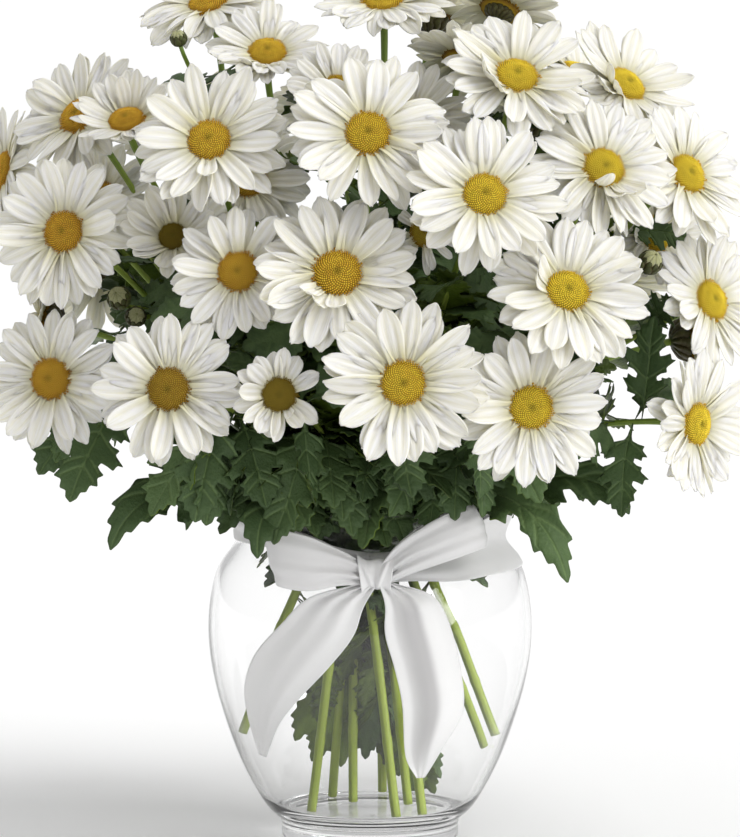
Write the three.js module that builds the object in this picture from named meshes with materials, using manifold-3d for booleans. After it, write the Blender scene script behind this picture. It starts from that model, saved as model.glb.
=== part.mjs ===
// Daisy-type spray chrysanthemums in a clear glass ginger-jar vase, with a white satin bow at its neck.
// Millimetres, +Z up. The origin is the centre of the vase's foot, and the bow faces -Y.
import * as THREE from 'three';
import { mergeVertices } from 'three/addons/utils/BufferGeometryUtils.js';
import Module from 'manifold-3d';

const wasm = await Module();
wasm.setup();

// ---------- Driving dimensions ----------

const GAP = 0.3; // air between two pieces that rest on each other

const VASE = {
  sides: 32,
  footRadius: 41.4,
  footHeight: 9,
  floorHeight: 15,
  floorRadius: 42,
  wall: 3,
  bodySteps: 10,
  // Radius and height of the outside, from the foot, over the belly and the neck, to the rim.
  outside: [
    [41.4, 9], [50.5, 18.5], [62.5, 42], [72.6, 74], [75.6, 101],
    [71.8, 125.5], [62, 142], [66, 153.5], [72, 160],
  ],
};

const RIBBON = {
  thickness: 1.2,
  bandLow: 129,
  bandHigh: 158,
  bandSteps: 5,
  // The knot: its middle, its half sizes, and how far its back stands off the band.
  knot: { x: 2.7, z: 134.8, halfWide: 7.8, halfDeep: 6, halfHigh: 8.4, clear: 2.7 },
  // A bow loop leaves the knot in front, turns at its end and comes back behind. Each row is the middle of the
  // strip (x, y, z) and half its height.
  leftLoop: [
    [-1, -78, 134, 4], [-14, -82, 138, 8], [-27, -84, 140, 12], [-39, -82, 142.5, 13],
    [-43.5, -77.5, 143.5, 13],
    [-39, -73.5, 143, 12.5], [-27, -73, 140, 11], [-14, -74, 137, 8], [-1, -76, 134, 4],
  ],
  rightLoop: [
    [6, -78, 134, 4], [17, -82, 143, 7.5], [30, -84, 150, 9.5], [43, -82, 155.5, 10.5],
    [49, -77.5, 157, 10],
    [43, -73.5, 155.5, 10], [30, -73, 150, 9], [17, -74, 143, 7], [6, -76, 134, 4],
  ],
  // A bow tail lies on the glass. Each row is its left and right edges (x, z), and its distance from the glass.
  leftTail: [
    [-4, 131, 2, 129, 8], [-27, 124, -3, 120, 6.5], [-40, 111, -7.5, 107, 4], [-52, 96, -18, 93, 3],
    [-57, 81, -31, 78, 3], [-56, 66, -41, 64, 3], [-51, 47, -47.5, 46, 3],
  ],
  rightTail: [
    [4, 131, 10, 131, 8], [6.7, 121, 28, 125, 7], [6.7, 108, 36, 111, 4.5], [11, 92, 41, 90, 3.2],
    [14.5, 75, 42, 71, 4], [16, 51, 33, 54, 6], [21, 40, 25, 40, 8],
  ],
};

const STEM = {
  radius: 2.1,
  sides: 8,
  steps: 9,
  shootRadius: 1.3,
  shootSides: 5,
  shootSteps: 5,
  firstShoot: 0.8, // how far up its stem the lowest side shoot starts, from 0 to 1
  lastShoot: 0.97,
  shootPull: 0.3, // how much of a shoot's length each of its ends runs straight for
  shootPullMost: 34,
  neckHeight: 135,
  leanReach: 1.7, // from the middle of a leaning stem's cut end to its edge, square to the wall
};

// A head of full size. Smaller heads are scaled by the reach of their petals.
const HEAD = {
  reach: 36,
  petals: 12,
  notch: 0.84, // reach of the notch between two petals, as a share of the petal's
  cup: 3.5, // how far the petal tips stand in front of the petal roots
  petalRootUnder: -2.4,
  petalRootOver: 0.4,
  discRadius: 10.5,
  discHeight: 5,
  discShoulder: { radius: 0.72, height: 0.8 }, // shares of the disc's radius and height
  calyxDepth: 9,
  calyxRadius: 2.2,
};

const LEAF = { thickness: 1, petiole: 1.4, rootGap: 0.8 };

// Each cut stem: the foot where it stands on the floor (x, y), or the bearing and the height at which it leans
// on the wall, where it passes the neck (x, y), where it forks, and the heads on its side shoots, lowest first.
// A head is the place of its disc (x, y, z), the bearing of its face (0 looks along -Y, 90 along +X), the rise
// of its face above the horizontal, and its petals' reach.
const STEMS = [
  {
    foot: [12, -38], neck: [-2, -9], fork: [1, -44, 198],
    heads: [
      [14, -160, 229, 4, 8, 37], [-14, -139, 274, 0, 26, 37.5],
      [-1, -125, 334, 4, 22, 37], [6, -22, 390, -4, 58, 34],
    ],
  },
  {
    foot: [-18, 18], neck: [-9, 0], fork: [-15, -36, 194],
    heads: [
      [-39, -150, 223, -2, 6, 20.5], [-57, -126, 274, -8, 18, 31],
      [-14, -90, 351, 8, 30, 25], [-46, -54, 367, 2, 46, 29],
    ],
  },
  {
    foot: [-27, -24], neck: [-13, -10], fork: [-31, -30, 192],
    heads: [
      [-87, -135, 224, -10, 6, 34.5], [-87, -90, 287, -5, 30, 24],
      [-70, -110, 330, -8, 30, 36.5], [-109, -60, 337, -15, 50, 26],
    ],
  },
  {
    lean: [-77, 50], neck: [-30, -8], fork: [-46, -16, 186],
    heads: [
      [-141, -90, 224, -22, 10, 34], [-135, -85, 289, -22, 12, 35], [-169, 4, 312, -65, 15, 32],
      [-132, -30, 338, -35, 35, 34], [-74, -8, 389, -24, 56, 34],
    ],
  },
  {
    foot: [18, 0], neck: [5, -2], fork: [14, -40, 192],
    heads: [[24, -119, 291, -10, 10, 20], [49, -140, 308, 10, 26, 36.5], [42, -36, 364, 160, 55, 27]],
  },
  {
    foot: [24, -32], neck: [11, -12], fork: [28, -34, 194],
    heads: [
      [69, -145, 217, 12, 6, 36], [85, -135, 266, 15, 30, 37],
      [65, -75, 357, 12, 42, 36], [60, 1, 386, 150, 50, 29],
    ],
  },
  {
    lean: [72, 50], neck: [27, -9], fork: [46, -20, 186],
    heads: [
      [145, -80, 203, 48, 0, 34], [153, -54, 256, 42, 20, 34], [103, -88, 317, 18, 30, 35],
      [142, -55, 313, 38, 25, 35], [116, -30, 352, 40, 40, 34], [98, 34, 356, 70, 60, 30],
    ],
  },
  {
    lean: [102, 38], neck: [17, 6], fork: [38, 20, 194],
    heads: [[150, 28, 232, 100, 10, 35], [118, 95, 256, 130, 20, 35], [78, 88, 329, 140, 42, 35]],
  },
  {
    foot: [6, 30], neck: [4, 9], fork: [4, 38, 198],
    heads: [
      [58, 138, 229, 158, 10, 35], [-12, 146, 256, 185, 20, 35],
      [-18, 105, 336, 190, 45, 34], [28, 52, 382, 170, 72, 34],
    ],
  },
  {
    foot: [-8, 6], neck: [-8, 10], fork: [-34, 24, 194],
    heads: [
      [-152, 24, 240, 262, 10, 34], [-80, 126, 232, 212, 10, 35],
      [-127, 80, 262, 238, 18, 35], [-88, 62, 332, 235, 42, 35],
    ],
  },
];

// Each leaf: the stem that it grows on, how far up that stem, the point that pulls its arch, and its tip.
const LEAVES = [
  { stem: 3, at: 0.77, arch: [-100, -70, 190], tip: [-116, -84, 146], halfWidth: 20 },
  { stem: 2, at: 0.76, arch: [-52, -88, 184], tip: [-50, -96, 144], halfWidth: 19 },
  { stem: 5, at: 0.78, arch: [74, -83, 190], tip: [88, -100, 134], halfWidth: 18.5 },
  { stem: 6, at: 0.78, arch: [102, -54, 192], tip: [117, -66, 160], halfWidth: 18 },
  { stem: 7, at: 0.76, arch: [84, 60, 190], tip: [104, 82, 148], halfWidth: 20 },
  { stem: 9, at: 0.76, arch: [-60, 76, 186], tip: [-78, 98, 144], halfWidth: 20 },
];

// Half width of a leaf along its midrib, as a share of its widest lobe: [place from stem to tip, share].
const LEAF_LOBES = [
  [0, 0.06], [0.22, 0.07], [0.34, 0.62], [0.42, 0.3], [0.58, 1],
  [0.68, 0.38], [0.8, 0.62], [0.88, 0.24], [1, 0.03],
];

// ---------- Shared shapes ----------

const glass = { color: 0xeef3f3, roughness: 0.05, metalness: 0, transparent: true, opacity: 0.35 };
const satin = { color: 0xf3f3f3, roughness: 0.35, metalness: 0 };
const stemGreen = { color: 0x7f9a45, roughness: 0.6, metalness: 0 };
const leafGreen = { color: 0x2f5426, roughness: 0.55, metalness: 0 };
const petalWhite = { color: 0xf7f5ee, roughness: 0.7, metalness: 0 };

const part = new THREE.Group();

function addPiece(name, geometry, look) {
  const mesh = new THREE.Mesh(geometry, new THREE.MeshStandardMaterial(look));
  mesh.name = name;
  part.add(mesh);
  return mesh;
}

function vector([x, y, z]) {
  return new THREE.Vector3(x, y, z);
}

function solidFrom(geometry) {
  const bare = geometry.clone();
  bare.deleteAttribute('normal');
  bare.deleteAttribute('uv');
  const merged = mergeVertices(bare);
  return new wasm.Manifold(new wasm.Mesh({
    numProp: 3,
    vertProperties: merged.attributes.position.array,
    triVerts: new Uint32Array(merged.index.array),
  }));
}

function joined(geometries) {
  const mesh = geometries.map(solidFrom).reduce((all, next) => all.add(next)).getMesh();
  const geometry = new THREE.BufferGeometry();
  geometry.setAttribute('position', new THREE.BufferAttribute(mesh.vertProperties, 3));
  geometry.setIndex(new THREE.BufferAttribute(mesh.triVerts, 1));
  return geometry;
}

function fromFaces(points, faces) {
  const geometry = new THREE.BufferGeometry();
  const places = points.flatMap((p) => [p.x, p.y, p.z]);
  geometry.setAttribute('position', new THREE.Float32BufferAttribute(places, 3));
  geometry.setIndex(faces.flat());
  return geometry;
}

function tube(curve, radius, sides, steps) {
  const section = new THREE.Shape();
  for (let i = 0; i < sides; i++) {
    const angle = (2 * Math.PI * i) / sides;
    const point = [radius * Math.cos(angle), radius * Math.sin(angle)];
    if (i === 0) section.moveTo(...point);
    else section.lineTo(...point);
  }
  return new THREE.ExtrudeGeometry(section, { extrudePath: curve, steps, bevelEnabled: false });
}

// A closed sheet of even thickness about a grid of points, rows by columns.
function sheet(rows, thickness) {
  const count = rows.length;
  const across = rows[0].length;
  const at = (i, j) => rows[Math.min(Math.max(i, 0), count - 1)][Math.min(Math.max(j, 0), across - 1)];
  const points = [];
  for (const side of [1, -1]) {
    for (let i = 0; i < count; i++) {
      for (let j = 0; j < across; j++) {
        const along = at(i + 1, j).clone().sub(at(i - 1, j));
        const over = at(i, j + 1).clone().sub(at(i, j - 1));
        const normal = along.cross(over).normalize();
        points.push(at(i, j).clone().addScaledVector(normal, (side * thickness) / 2));
      }
    }
  }
  const top = (i, j) => i * across + j;
  const under = (i, j) => count * across + i * across + j;
  const faces = [];
  const quad = (a, b, c, d) => faces.push([a, b, c], [a, c, d]);
  for (let i = 0; i < count - 1; i++) {
    for (let j = 0; j < across - 1; j++) {
      quad(top(i, j), top(i + 1, j), top(i + 1, j + 1), top(i, j + 1));
      quad(under(i, j), under(i, j + 1), under(i + 1, j + 1), under(i + 1, j));
    }
    quad(top(i, 0), under(i, 0), under(i + 1, 0), top(i + 1, 0));
    quad(top(i + 1, across - 1), under(i + 1, across - 1), under(i, across - 1), top(i, across - 1));
  }
  for (let j = 0; j < across - 1; j++) {
    quad(top(0, j + 1), under(0, j + 1), under(0, j), top(0, j));
    quad(top(count - 1, j), under(count - 1, j), under(count - 1, j + 1), top(count - 1, j + 1));
  }
  return fromFaces(points, faces);
}

// ---------- Vase ----------

const outsideCurve = new THREE.SplineCurve(VASE.outside.map(([r, z]) => new THREE.Vector2(r, z)));

// A point of the vase's outside at a height, moved out by a distance along the surface's normal.
function outsidePoint(height, out) {
  const t = curvePlace(height);
  const tangent = outsideCurve.getTangent(t);
  return outsideCurve.getPoint(t).add(new THREE.Vector2(tangent.y, -tangent.x).multiplyScalar(out));
}

function outsidePoints(low, high, steps, out) {
  const points = [];
  for (let i = 0; i <= steps; i++) points.push(outsidePoint(low + ((high - low) * i) / steps, out));
  return points;
}

// Where the outside curve, which only rises, reaches a height.
function curvePlace(height) {
  let low = 0;
  let high = 1;
  for (let i = 0; i < 30; i++) {
    const middle = (low + high) / 2;
    if (outsideCurve.getPoint(middle).y < height) low = middle;
    else high = middle;
  }
  return (low + high) / 2;
}

function glassRadius(height) {
  return outsideCurve.getPoint(curvePlace(height)).x;
}

function turned(profile) {
  return new THREE.LatheGeometry(profile, VASE.sides).rotateX(Math.PI / 2);
}

function makeVase() {
  const rimHeight = VASE.outside[VASE.outside.length - 1][1];
  const wallSide = (out) => [
    ...outsidePoints(VASE.footHeight, RIBBON.bandLow, VASE.bodySteps, out),
    ...outsidePoints(RIBBON.bandLow, RIBBON.bandHigh, RIBBON.bandSteps, out).slice(1),
    outsidePoint(rimHeight, out),
  ];
  const outside = wallSide(0);
  const inside = wallSide(-VASE.wall);
  const wallStart = VASE.floorHeight + VASE.wall;
  const profile = [
    new THREE.Vector2(0, 0),
    new THREE.Vector2(VASE.footRadius, 0),
    ...outside,
    ...inside.filter((p) => p.y > wallStart).reverse(),
    new THREE.Vector2(VASE.floorRadius, VASE.floorHeight),
    new THREE.Vector2(0, VASE.floorHeight),
  ];
  addPiece('vase', turned(profile), glass);
}

// ---------- Ribbon ----------

function makeBand() {
  const { bandLow, bandHigh, bandSteps, thickness } = RIBBON;
  const outer = outsidePoints(bandLow, bandHigh, bandSteps, GAP + thickness);
  const inner = outsidePoints(bandLow, bandHigh, bandSteps, GAP).reverse();
  addPiece('ribbon_band', turned([...outer, ...inner, outer[0]]), satin);
}

function loopSheet(rows) {
  const grid = rows.map(([x, y, z, half]) => [-half, 0, half].map((up) => new THREE.Vector3(x, y, z + up)));
  return sheet(grid, RIBBON.thickness);
}

function tailSheet(rows) {
  const grid = rows.map(([leftX, leftZ, rightX, rightZ, off]) => [0, 0.5, 1].map((share) => {
    const x = leftX + (rightX - leftX) * share;
    const z = leftZ + (rightZ - leftZ) * share;
    const radius = glassRadius(z) + off;
    return new THREE.Vector3(x, -Math.sqrt(radius * radius - x * x), z);
  }));
  return sheet(grid, RIBBON.thickness);
}

function makeBow() {
  const { knot, thickness } = RIBBON;
  const knotY = -(glassRadius(knot.z) + GAP + thickness + knot.clear + knot.halfDeep);
  const knotBody = new THREE.SphereGeometry(1, 10, 7)
    .scale(knot.halfWide, knot.halfDeep, knot.halfHigh)
    .translate(knot.x, knotY, knot.z);
  const loops = [loopSheet(RIBBON.leftLoop), loopSheet(RIBBON.rightLoop)];
  const tails = [tailSheet(RIBBON.leftTail), tailSheet(RIBBON.rightTail)];
  addPiece('ribbon_bow', joined([knotBody, ...loops, ...tails]), satin);
}

// ---------- Flower heads ----------

// Rings of points about the facing axis, from the calyx's foot, round the petals, to the top of the disc.
function headGeometry() {
  const { reach, petals, notch, cup, petalRootUnder, petalRootOver, calyxDepth, calyxRadius } = HEAD;
  const { discRadius, discHeight, discShoulder } = HEAD;
  const points = [];
  const ring = (radius, height, count = petals, turn = 0) => {
    const first = points.length;
    for (let i = 0; i < count; i++) {
      const angle = (2 * Math.PI * (i + turn)) / count;
      points.push(new THREE.Vector3(radius * Math.cos(angle), radius * Math.sin(angle), height));
    }
    return (i) => first + ((i + count) % count);
  };
  const calyxFoot = ring(calyxRadius, -calyxDepth);
  const under = ring(discRadius, petalRootUnder);
  const over = ring(discRadius, petalRootOver);
  const dome = ring(discRadius * discShoulder.radius, discHeight * discShoulder.height);
  const notches = ring(reach * notch, cup * 0.7);
  const tips = ring(reach, cup, petals, 0.5);
  points.push(new THREE.Vector3(0, 0, -calyxDepth), new THREE.Vector3(0, 0, discHeight));
  const footMiddle = points.length - 2;
  const discMiddle = points.length - 1;
  const faces = [];
  for (let i = 0; i < petals; i++) {
    faces.push([footMiddle, calyxFoot(i + 1), calyxFoot(i)], [discMiddle, dome(i), dome(i + 1)]);
    faces.push([calyxFoot(i), calyxFoot(i + 1), under(i + 1)], [calyxFoot(i), under(i + 1), under(i)]);
    faces.push([over(i), over(i + 1), dome(i + 1)], [over(i), dome(i + 1), dome(i)]);
    faces.push([under(i), under(i + 1), tips(i)], [under(i), tips(i), notches(i)]);
    faces.push([under(i + 1), notches(i + 1), tips(i)], [over(i + 1), tips(i), notches(i + 1)]);
    faces.push([over(i + 1), over(i), tips(i)], [over(i), notches(i), tips(i)]);
  }
  return fromFaces(points, faces);
}

function facing(bearing, rise) {
  const turn = THREE.MathUtils.degToRad(bearing);
  const lift = THREE.MathUtils.degToRad(rise);
  return new THREE.Vector3(
    Math.sin(turn) * Math.cos(lift),
    -Math.cos(turn) * Math.cos(lift),
    Math.sin(lift),
  );
}

function addHead(name, [x, y, z, bearing, rise, reach]) {
  const head = addPiece(name, headGeometry(), petalWhite);
  head.position.set(x, y, z);
  head.quaternion.setFromUnitVectors(new THREE.Vector3(0, 0, 1), facing(bearing, rise));
  head.scale.setScalar(reach / HEAD.reach);
}

// ---------- Stems ----------

// The middle line of a stem, from its cut end, through the neck, to its fork.
function stemCurve({ foot, lean, neck, fork }) {
  const waist = new THREE.Vector3(...neck, STEM.neckHeight);
  const start = new THREE.Vector3();
  if (lean) {
    const [bearing, height] = lean;
    const onWall = outsidePoint(height, -(VASE.wall + STEM.leanReach + GAP));
    start.copy(facing(bearing, 0)).multiplyScalar(onWall.x * Math.cos(Math.PI / VASE.sides)).setZ(onWall.y);
  } else {
    start.set(...foot, VASE.floorHeight + GAP);
    const slope = waist.clone().sub(start).normalize();
    start.z += STEM.radius * Math.sqrt(1 - slope.z * slope.z);
  }
  const below = start.clone().lerp(waist, 0.5);
  return new THREE.CatmullRomCurve3([start, below, waist, vector(fork)], false, 'centripetal');
}

// A side shoot: it leaves the stem along the stem and reaches the head from behind.
function shootCurve(stem, place, [x, y, z, bearing, rise, reach]) {
  const start = stem.getPointAt(place);
  const axis = facing(bearing, rise);
  const calyx = (HEAD.calyxDepth * reach) / HEAD.reach + GAP;
  const end = new THREE.Vector3(x, y, z).addScaledVector(axis, -calyx);
  const pull = start.distanceTo(end) * STEM.shootPull;
  return new THREE.CubicBezierCurve3(
    start,
    start.clone().addScaledVector(stem.getTangentAt(place), pull),
    end.clone().addScaledVector(axis, -Math.min(pull, STEM.shootPullMost)),
    end,
  );
}

function makeStem(name, stem) {
  const curve = stemCurve(stem);
  const tubes = [tube(curve, STEM.radius, STEM.sides, STEM.steps)];
  stem.heads.forEach((head, i) => {
    const place = THREE.MathUtils.lerp(STEM.firstShoot, STEM.lastShoot, i / (stem.heads.length - 1));
    const shoot = shootCurve(curve, place, head);
    tubes.push(tube(shoot, STEM.shootRadius, STEM.shootSides, STEM.shootSteps));
  });
  addPiece(name, joined(tubes), stemGreen);
}

// ---------- Leaves ----------

function makeLeaf(name, { stem, at, arch, tip, halfWidth }) {
  const curve = stemCurve(STEMS[stem]);
  const root = curve.getPointAt(at);
  const out = vector(arch).sub(root);
  const along = curve.getTangentAt(at);
  out.addScaledVector(along, -out.dot(along)).normalize();
  root.addScaledVector(out, STEM.radius + LEAF.rootGap);
  const midrib = new THREE.QuadraticBezierCurve3(root, vector(arch), vector(tip));
  const rows = LEAF_LOBES.map(([place, share]) => {
    const middle = midrib.getPointAt(place);
    const side = midrib.getTangentAt(place).cross(new THREE.Vector3(0, 0, 1)).normalize();
    const half = Math.max(halfWidth * share, LEAF.petiole);
    return [-half, 0, half].map((over) => middle.clone().addScaledVector(side, over));
  });
  addPiece(name, sheet(rows, LEAF.thickness), leafGreen);
}

// ---------- The whole ----------

makeVase();
makeBand();
makeBow();
let headNumber = 0;
STEMS.forEach((stem, i) => {
  makeStem(`stem_${String(i + 1).padStart(2, '0')}`, stem);
  for (const head of stem.heads) {
    headNumber += 1;
    addHead(`daisy_${String(headNumber).padStart(2, '0')}`, head);
  }
});
LEAVES.forEach((leaf, i) => makeLeaf(`leaf_${i + 1}`, leaf));

export default part;
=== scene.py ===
# White daisy chrysanthemums in a clear glass vase with a satin bow. Shapes are worked out in millimetres.
import random
from functools import partialmethod
from math import atan2, cos, exp, hypot, pi, radians, sin, sqrt

import bpy
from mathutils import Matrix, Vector, geometry, noise


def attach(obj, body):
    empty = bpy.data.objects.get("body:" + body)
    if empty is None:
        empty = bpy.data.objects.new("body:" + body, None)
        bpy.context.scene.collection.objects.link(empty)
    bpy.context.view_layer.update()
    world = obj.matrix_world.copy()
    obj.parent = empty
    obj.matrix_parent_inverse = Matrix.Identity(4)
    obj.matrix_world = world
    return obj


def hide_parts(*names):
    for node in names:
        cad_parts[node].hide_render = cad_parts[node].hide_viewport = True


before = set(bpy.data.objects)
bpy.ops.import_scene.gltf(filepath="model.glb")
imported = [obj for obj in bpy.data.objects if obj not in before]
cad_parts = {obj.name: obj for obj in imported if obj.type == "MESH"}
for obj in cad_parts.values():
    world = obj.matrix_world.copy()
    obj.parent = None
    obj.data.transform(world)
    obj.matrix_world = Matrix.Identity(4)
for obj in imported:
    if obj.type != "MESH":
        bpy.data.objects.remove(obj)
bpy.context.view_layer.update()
mm = 0.001
up = Vector((0, 0, 1))
# Where each kind's random draws start. A piece's own number is added.
seeds = {
    "flower": 901, "deep": 960, "largeLeaf": 70, "shownLeaf": 300, "sunkLeaf": 400, "foliage": 500, "bud": 700,
}


class Value:
    # One output of a material's nodes. Arithmetic on it adds Math nodes.
    def __init__(self, paint, socket):
        self.paint = paint
        self.socket = socket

    def maths(self, operation, other, swapped=False):
        a, b = (other, self) if swapped else (self, other)
        return self.paint.maths(operation, a, b)

    __add__, __radd__ = partialmethod(maths, "ADD"), partialmethod(maths, "ADD", swapped=True)
    __sub__, __rsub__ = partialmethod(maths, "SUBTRACT"), partialmethod(maths, "SUBTRACT", swapped=True)
    __mul__, __rmul__ = partialmethod(maths, "MULTIPLY"), partialmethod(maths, "MULTIPLY", swapped=True)
    __pow__ = partialmethod(maths, "POWER")


class Paint:
    # A material and the few ways that its nodes are added.
    def __init__(self, name):
        self.material = bpy.data.materials.new(name)
        self.material.use_nodes = True
        self.tree = self.material.node_tree
        self.tree.nodes.clear()

    def node(self, kind, settings=None, sockets=None, output=0):
        made = self.tree.nodes.new("ShaderNode" + kind)
        for key, value in (settings or {}).items():
            setattr(made, key, value)
        for key, value in (sockets or {}).items():
            if isinstance(value, Value):
                self.tree.links.new(value.socket, made.inputs[key])
            else:
                made.inputs[key].default_value = value
        return Value(self, made.outputs[output]) if made.outputs else None

    def maths(self, operation, a, b):
        return self.node("Math", {"operation": operation}, {0: a, 1: b})

    def between(self, low, high, value):
        settings = {"interpolation_type": "SMOOTHSTEP"}
        return self.node("MapRange", settings, {"Value": value, "From Min": low, "From Max": high})

    def mix(self, share, a, b):
        a, b = [x if isinstance(x, Value) else (*x, 1) for x in (a, b)]
        return self.node("Mix", {"data_type": "RGBA"}, {"Factor": share, 6: a, 7: b}, 2)

    def stored(self, name):
        return self.node("Attribute", {"attribute_name": name}, output=2)

    def vector(self, x, y, z):
        return self.node("CombineXYZ", None, {0: x, 1: y, 2: z})

    def place(self):
        return self.node("TexCoord", output=3)

    def cloud(self, vector, scale, detail=2.0):
        return self.node("TexNoise", None, {"Vector": vector, "Scale": scale, "Detail": detail})

    def bump(self, height, distance):
        return self.node("Bump", None, {"Height": height, "Distance": distance, "Strength": 1.0})

    def finish(self, sockets):
        shader = self.node("BsdfPrincipled", None, sockets)
        self.node("OutputMaterial", None, {"Surface": shader})
        return self.material


def petalLook(name, white, shade, root, rough):
    paint = Paint(name)
    along, across, own = paint.stored("along"), paint.stored("across"), paint.stored("own")
    streak = paint.cloud(paint.vector(across * 2.2, along * 0.5, own * 40), 2.6, 3.0)
    fine = paint.cloud(paint.vector(across * 13, along * 1.2, own * 40), 2.0, 2.0)
    groove, deep = paint.stored("groove"), paint.stored("deep")
    # Painted shade: the shade colour is laid in streaks along each petal, a little at random per petal, down
    # each groove and at the roots of the outer row, which the inner row hides.
    body = paint.mix(paint.between(0.40, 0.72, streak) * 0.45 + own * 0.15, white, shade)
    body = paint.mix(groove**2.5 * 0.6, body, shade)
    body = paint.mix((1 - paint.between(0.1, 0.75, along)) * deep * 0.75, body, shade)
    # The roots are tinted partly with the petals' own green-yellow base and partly with painted shade beside
    # the disc.
    body = paint.mix((1 - paint.between(0.0, 0.45, along)) * 0.8, body, root)
    relief = paint.bump(fine * 0.6 + streak * 0.4, 0.0005)
    return paint.finish({
        "Base Color": body, "Roughness": 0.35 * fine + rough, "Normal": relief,
        "Subsurface Weight": 0.5, "Subsurface Radius": (0.9, 0.85, 0.55), "Subsurface Scale": 0.002,
        "Specular IOR Level": 0.15,
    })


discColours = {
    "edge": ((0.38, 0.145, 0.010), (0.50, 0.25, 0.012)), "face": ((0.70, 0.40, 0.045), (0.95, 0.76, 0.07)),
    "middle": (0.22, 0.19, 0.02), "young": (0.115, 0.105, 0.015), "gap": (0.10, 0.045, 0.006),
    "rim": (0.13, 0.055, 0.008), "pollen": (0.8, 0.62, 0.1),
}


def discLook():
    paint = Paint("disc florets")
    out, tip = paint.stored("out"), paint.stored("tip")
    tone, young = paint.stored("tone"), paint.stored("young")
    edge = paint.mix(tone, *discColours["edge"])
    body = paint.mix(tone, *discColours["face"])
    body = paint.mix(paint.between(0.55, 0.98, out) * 0.85, body, edge)
    body = paint.mix((1 - paint.between(0.02, 0.24, out)) * 0.6, body, discColours["middle"])
    body = paint.mix(young * 0.85, body, discColours["young"])
    # Painted shade: the florets' feet and the dome under them are painted dark, more so towards the rim, where
    # shade falls between the florets.
    dark = (1 - paint.between(0.1, 0.8, tip)) * (0.62 + 0.34 * paint.between(0.85, 0.97, out))
    body = paint.mix(dark, body, discColours["gap"])
    body = paint.mix(paint.between(0.955, 0.985, out) * 0.6, body, discColours["rim"])
    grain = paint.cloud(paint.place(), 900.0, 1.0)
    return paint.finish({
        "Base Color": paint.mix(grain * 0.12, body, discColours["pollen"]), "Roughness": 0.25 * grain + 0.6,
        "Specular IOR Level": 0.12,
    })


def leafLook(name, dark, fresh, vein, rough):
    paint = Paint(name)
    line, own = paint.stored("vein"), paint.stored("own")
    patch = paint.cloud(paint.place(), 60.0, 3.0)
    body = paint.mix(paint.between(0.34, 0.7, patch) * 0.35 + own**2.5 * 0.5, dark, fresh)
    body = paint.mix(line * 0.7, body, vein)
    skin = paint.cloud(paint.place(), 620.0, 2.0)
    return paint.finish({
        "Base Color": body, "Roughness": 0.2 * skin + rough,
        "Normal": paint.bump(skin - line * 0.8, 0.0005), "Specular IOR Level": 0.35,
    })


def stemLook():
    paint = Paint("stem skin")
    along, own = paint.stored("along"), paint.stored("own")
    patch = paint.cloud(paint.place(), 45.0, 3.0)
    rib = paint.stored("rib")
    body = paint.mix(paint.between(0.3, 0.7, patch), (0.21, 0.31, 0.03), (0.36, 0.45, 0.07))
    body = paint.mix(rib * 0.45 + own * 0.1, body, (0.09, 0.16, 0.02))
    body = paint.mix(paint.between(0.7, 1.0, along) * 0.5, body, (0.09, 0.17, 0.025))
    # Painted light: the stems are painted lighter low down, inside the vase, standing in for light that reaches
    # them there.
    body = paint.mix(paint.stored("low") * 0.75, body, (0.30, 0.385, 0.025))
    return paint.finish({
        "Base Color": body, "Roughness": 0.3 * patch + 0.4, "Normal": paint.bump(patch - rib, 0.0003),
    })


def satinLook():
    paint = Paint("white satin")
    along, across = paint.stored("along"), paint.stored("across")
    thread = paint.node("TexWave", {"bands_direction": "X"}, {
        "Vector": paint.vector(across, along, 0.0), "Scale": 28.0, "Distortion": 0.6, "Detail": 1.0,
    })
    drift = paint.cloud(paint.place(), 130.0, 2.0)
    hem = paint.between(0.93, 0.97, paint.maths("ABSOLUTE", across, 0.0))
    body = paint.mix(drift * 0.35 + hem * 0.2, (0.94, 0.935, 0.935), (0.87, 0.862, 0.86))
    # Painted shade: the satin is painted greyer in the tails' folds and, evenly, over both loops.
    body = paint.mix(paint.stored("hollow") * 0.8, body, (0.60, 0.59, 0.595))
    return paint.finish({
        "Base Color": body, "Roughness": 0.12 * thread + 0.34,
        "Normal": paint.bump(0.25 * thread + hem, 0.00012),
        "Sheen Weight": 0.25, "Sheen Roughness": 0.4, "Specular IOR Level": 0.5,
        "Subsurface Weight": 0.35, "Subsurface Radius": (1, 1, 1), "Subsurface Scale": 0.002,
    })


def glassLook():
    paint = Paint("clear glass")
    wave = paint.cloud(paint.place(), 14.0, 1.0)
    steep = paint.node("LayerWeight", None, {"Blend": 0.5}, 1)
    body = paint.mix(steep**5 * 0.5, (0.995, 0.995, 0.995), (0.60, 0.62, 0.62))
    glass = paint.node("BsdfPrincipled", None, {
        "Base Color": body, "Roughness": 0.0, "IOR": 1.46, "Transmission Weight": 1.0,
        "Normal": paint.bump(wave, 0.0008),
    })
    # Light passes straight through the glass on its way to what it lights.
    clear = paint.node("BsdfTransparent")
    both = paint.node("MixShader", None, {0: paint.node("LightPath", output=1), 1: glass, 2: clear})
    paint.node("OutputMaterial", None, {"Surface": both})
    return paint.material


def floorLook():
    paint = Paint("studio floor")
    mottle = paint.cloud(paint.place(), 3.0, 2.0)
    body = paint.mix(mottle * 0.2, (0.95, 0.95, 0.95), (0.92, 0.92, 0.92))
    return paint.finish({
        "Base Color": body, "Roughness": 0.7 + 0.1 * mottle, "Specular IOR Level": 0.1,
        "Emission Color": (1, 1, 1, 1), "Emission Strength": 0.03,
    })


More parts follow.
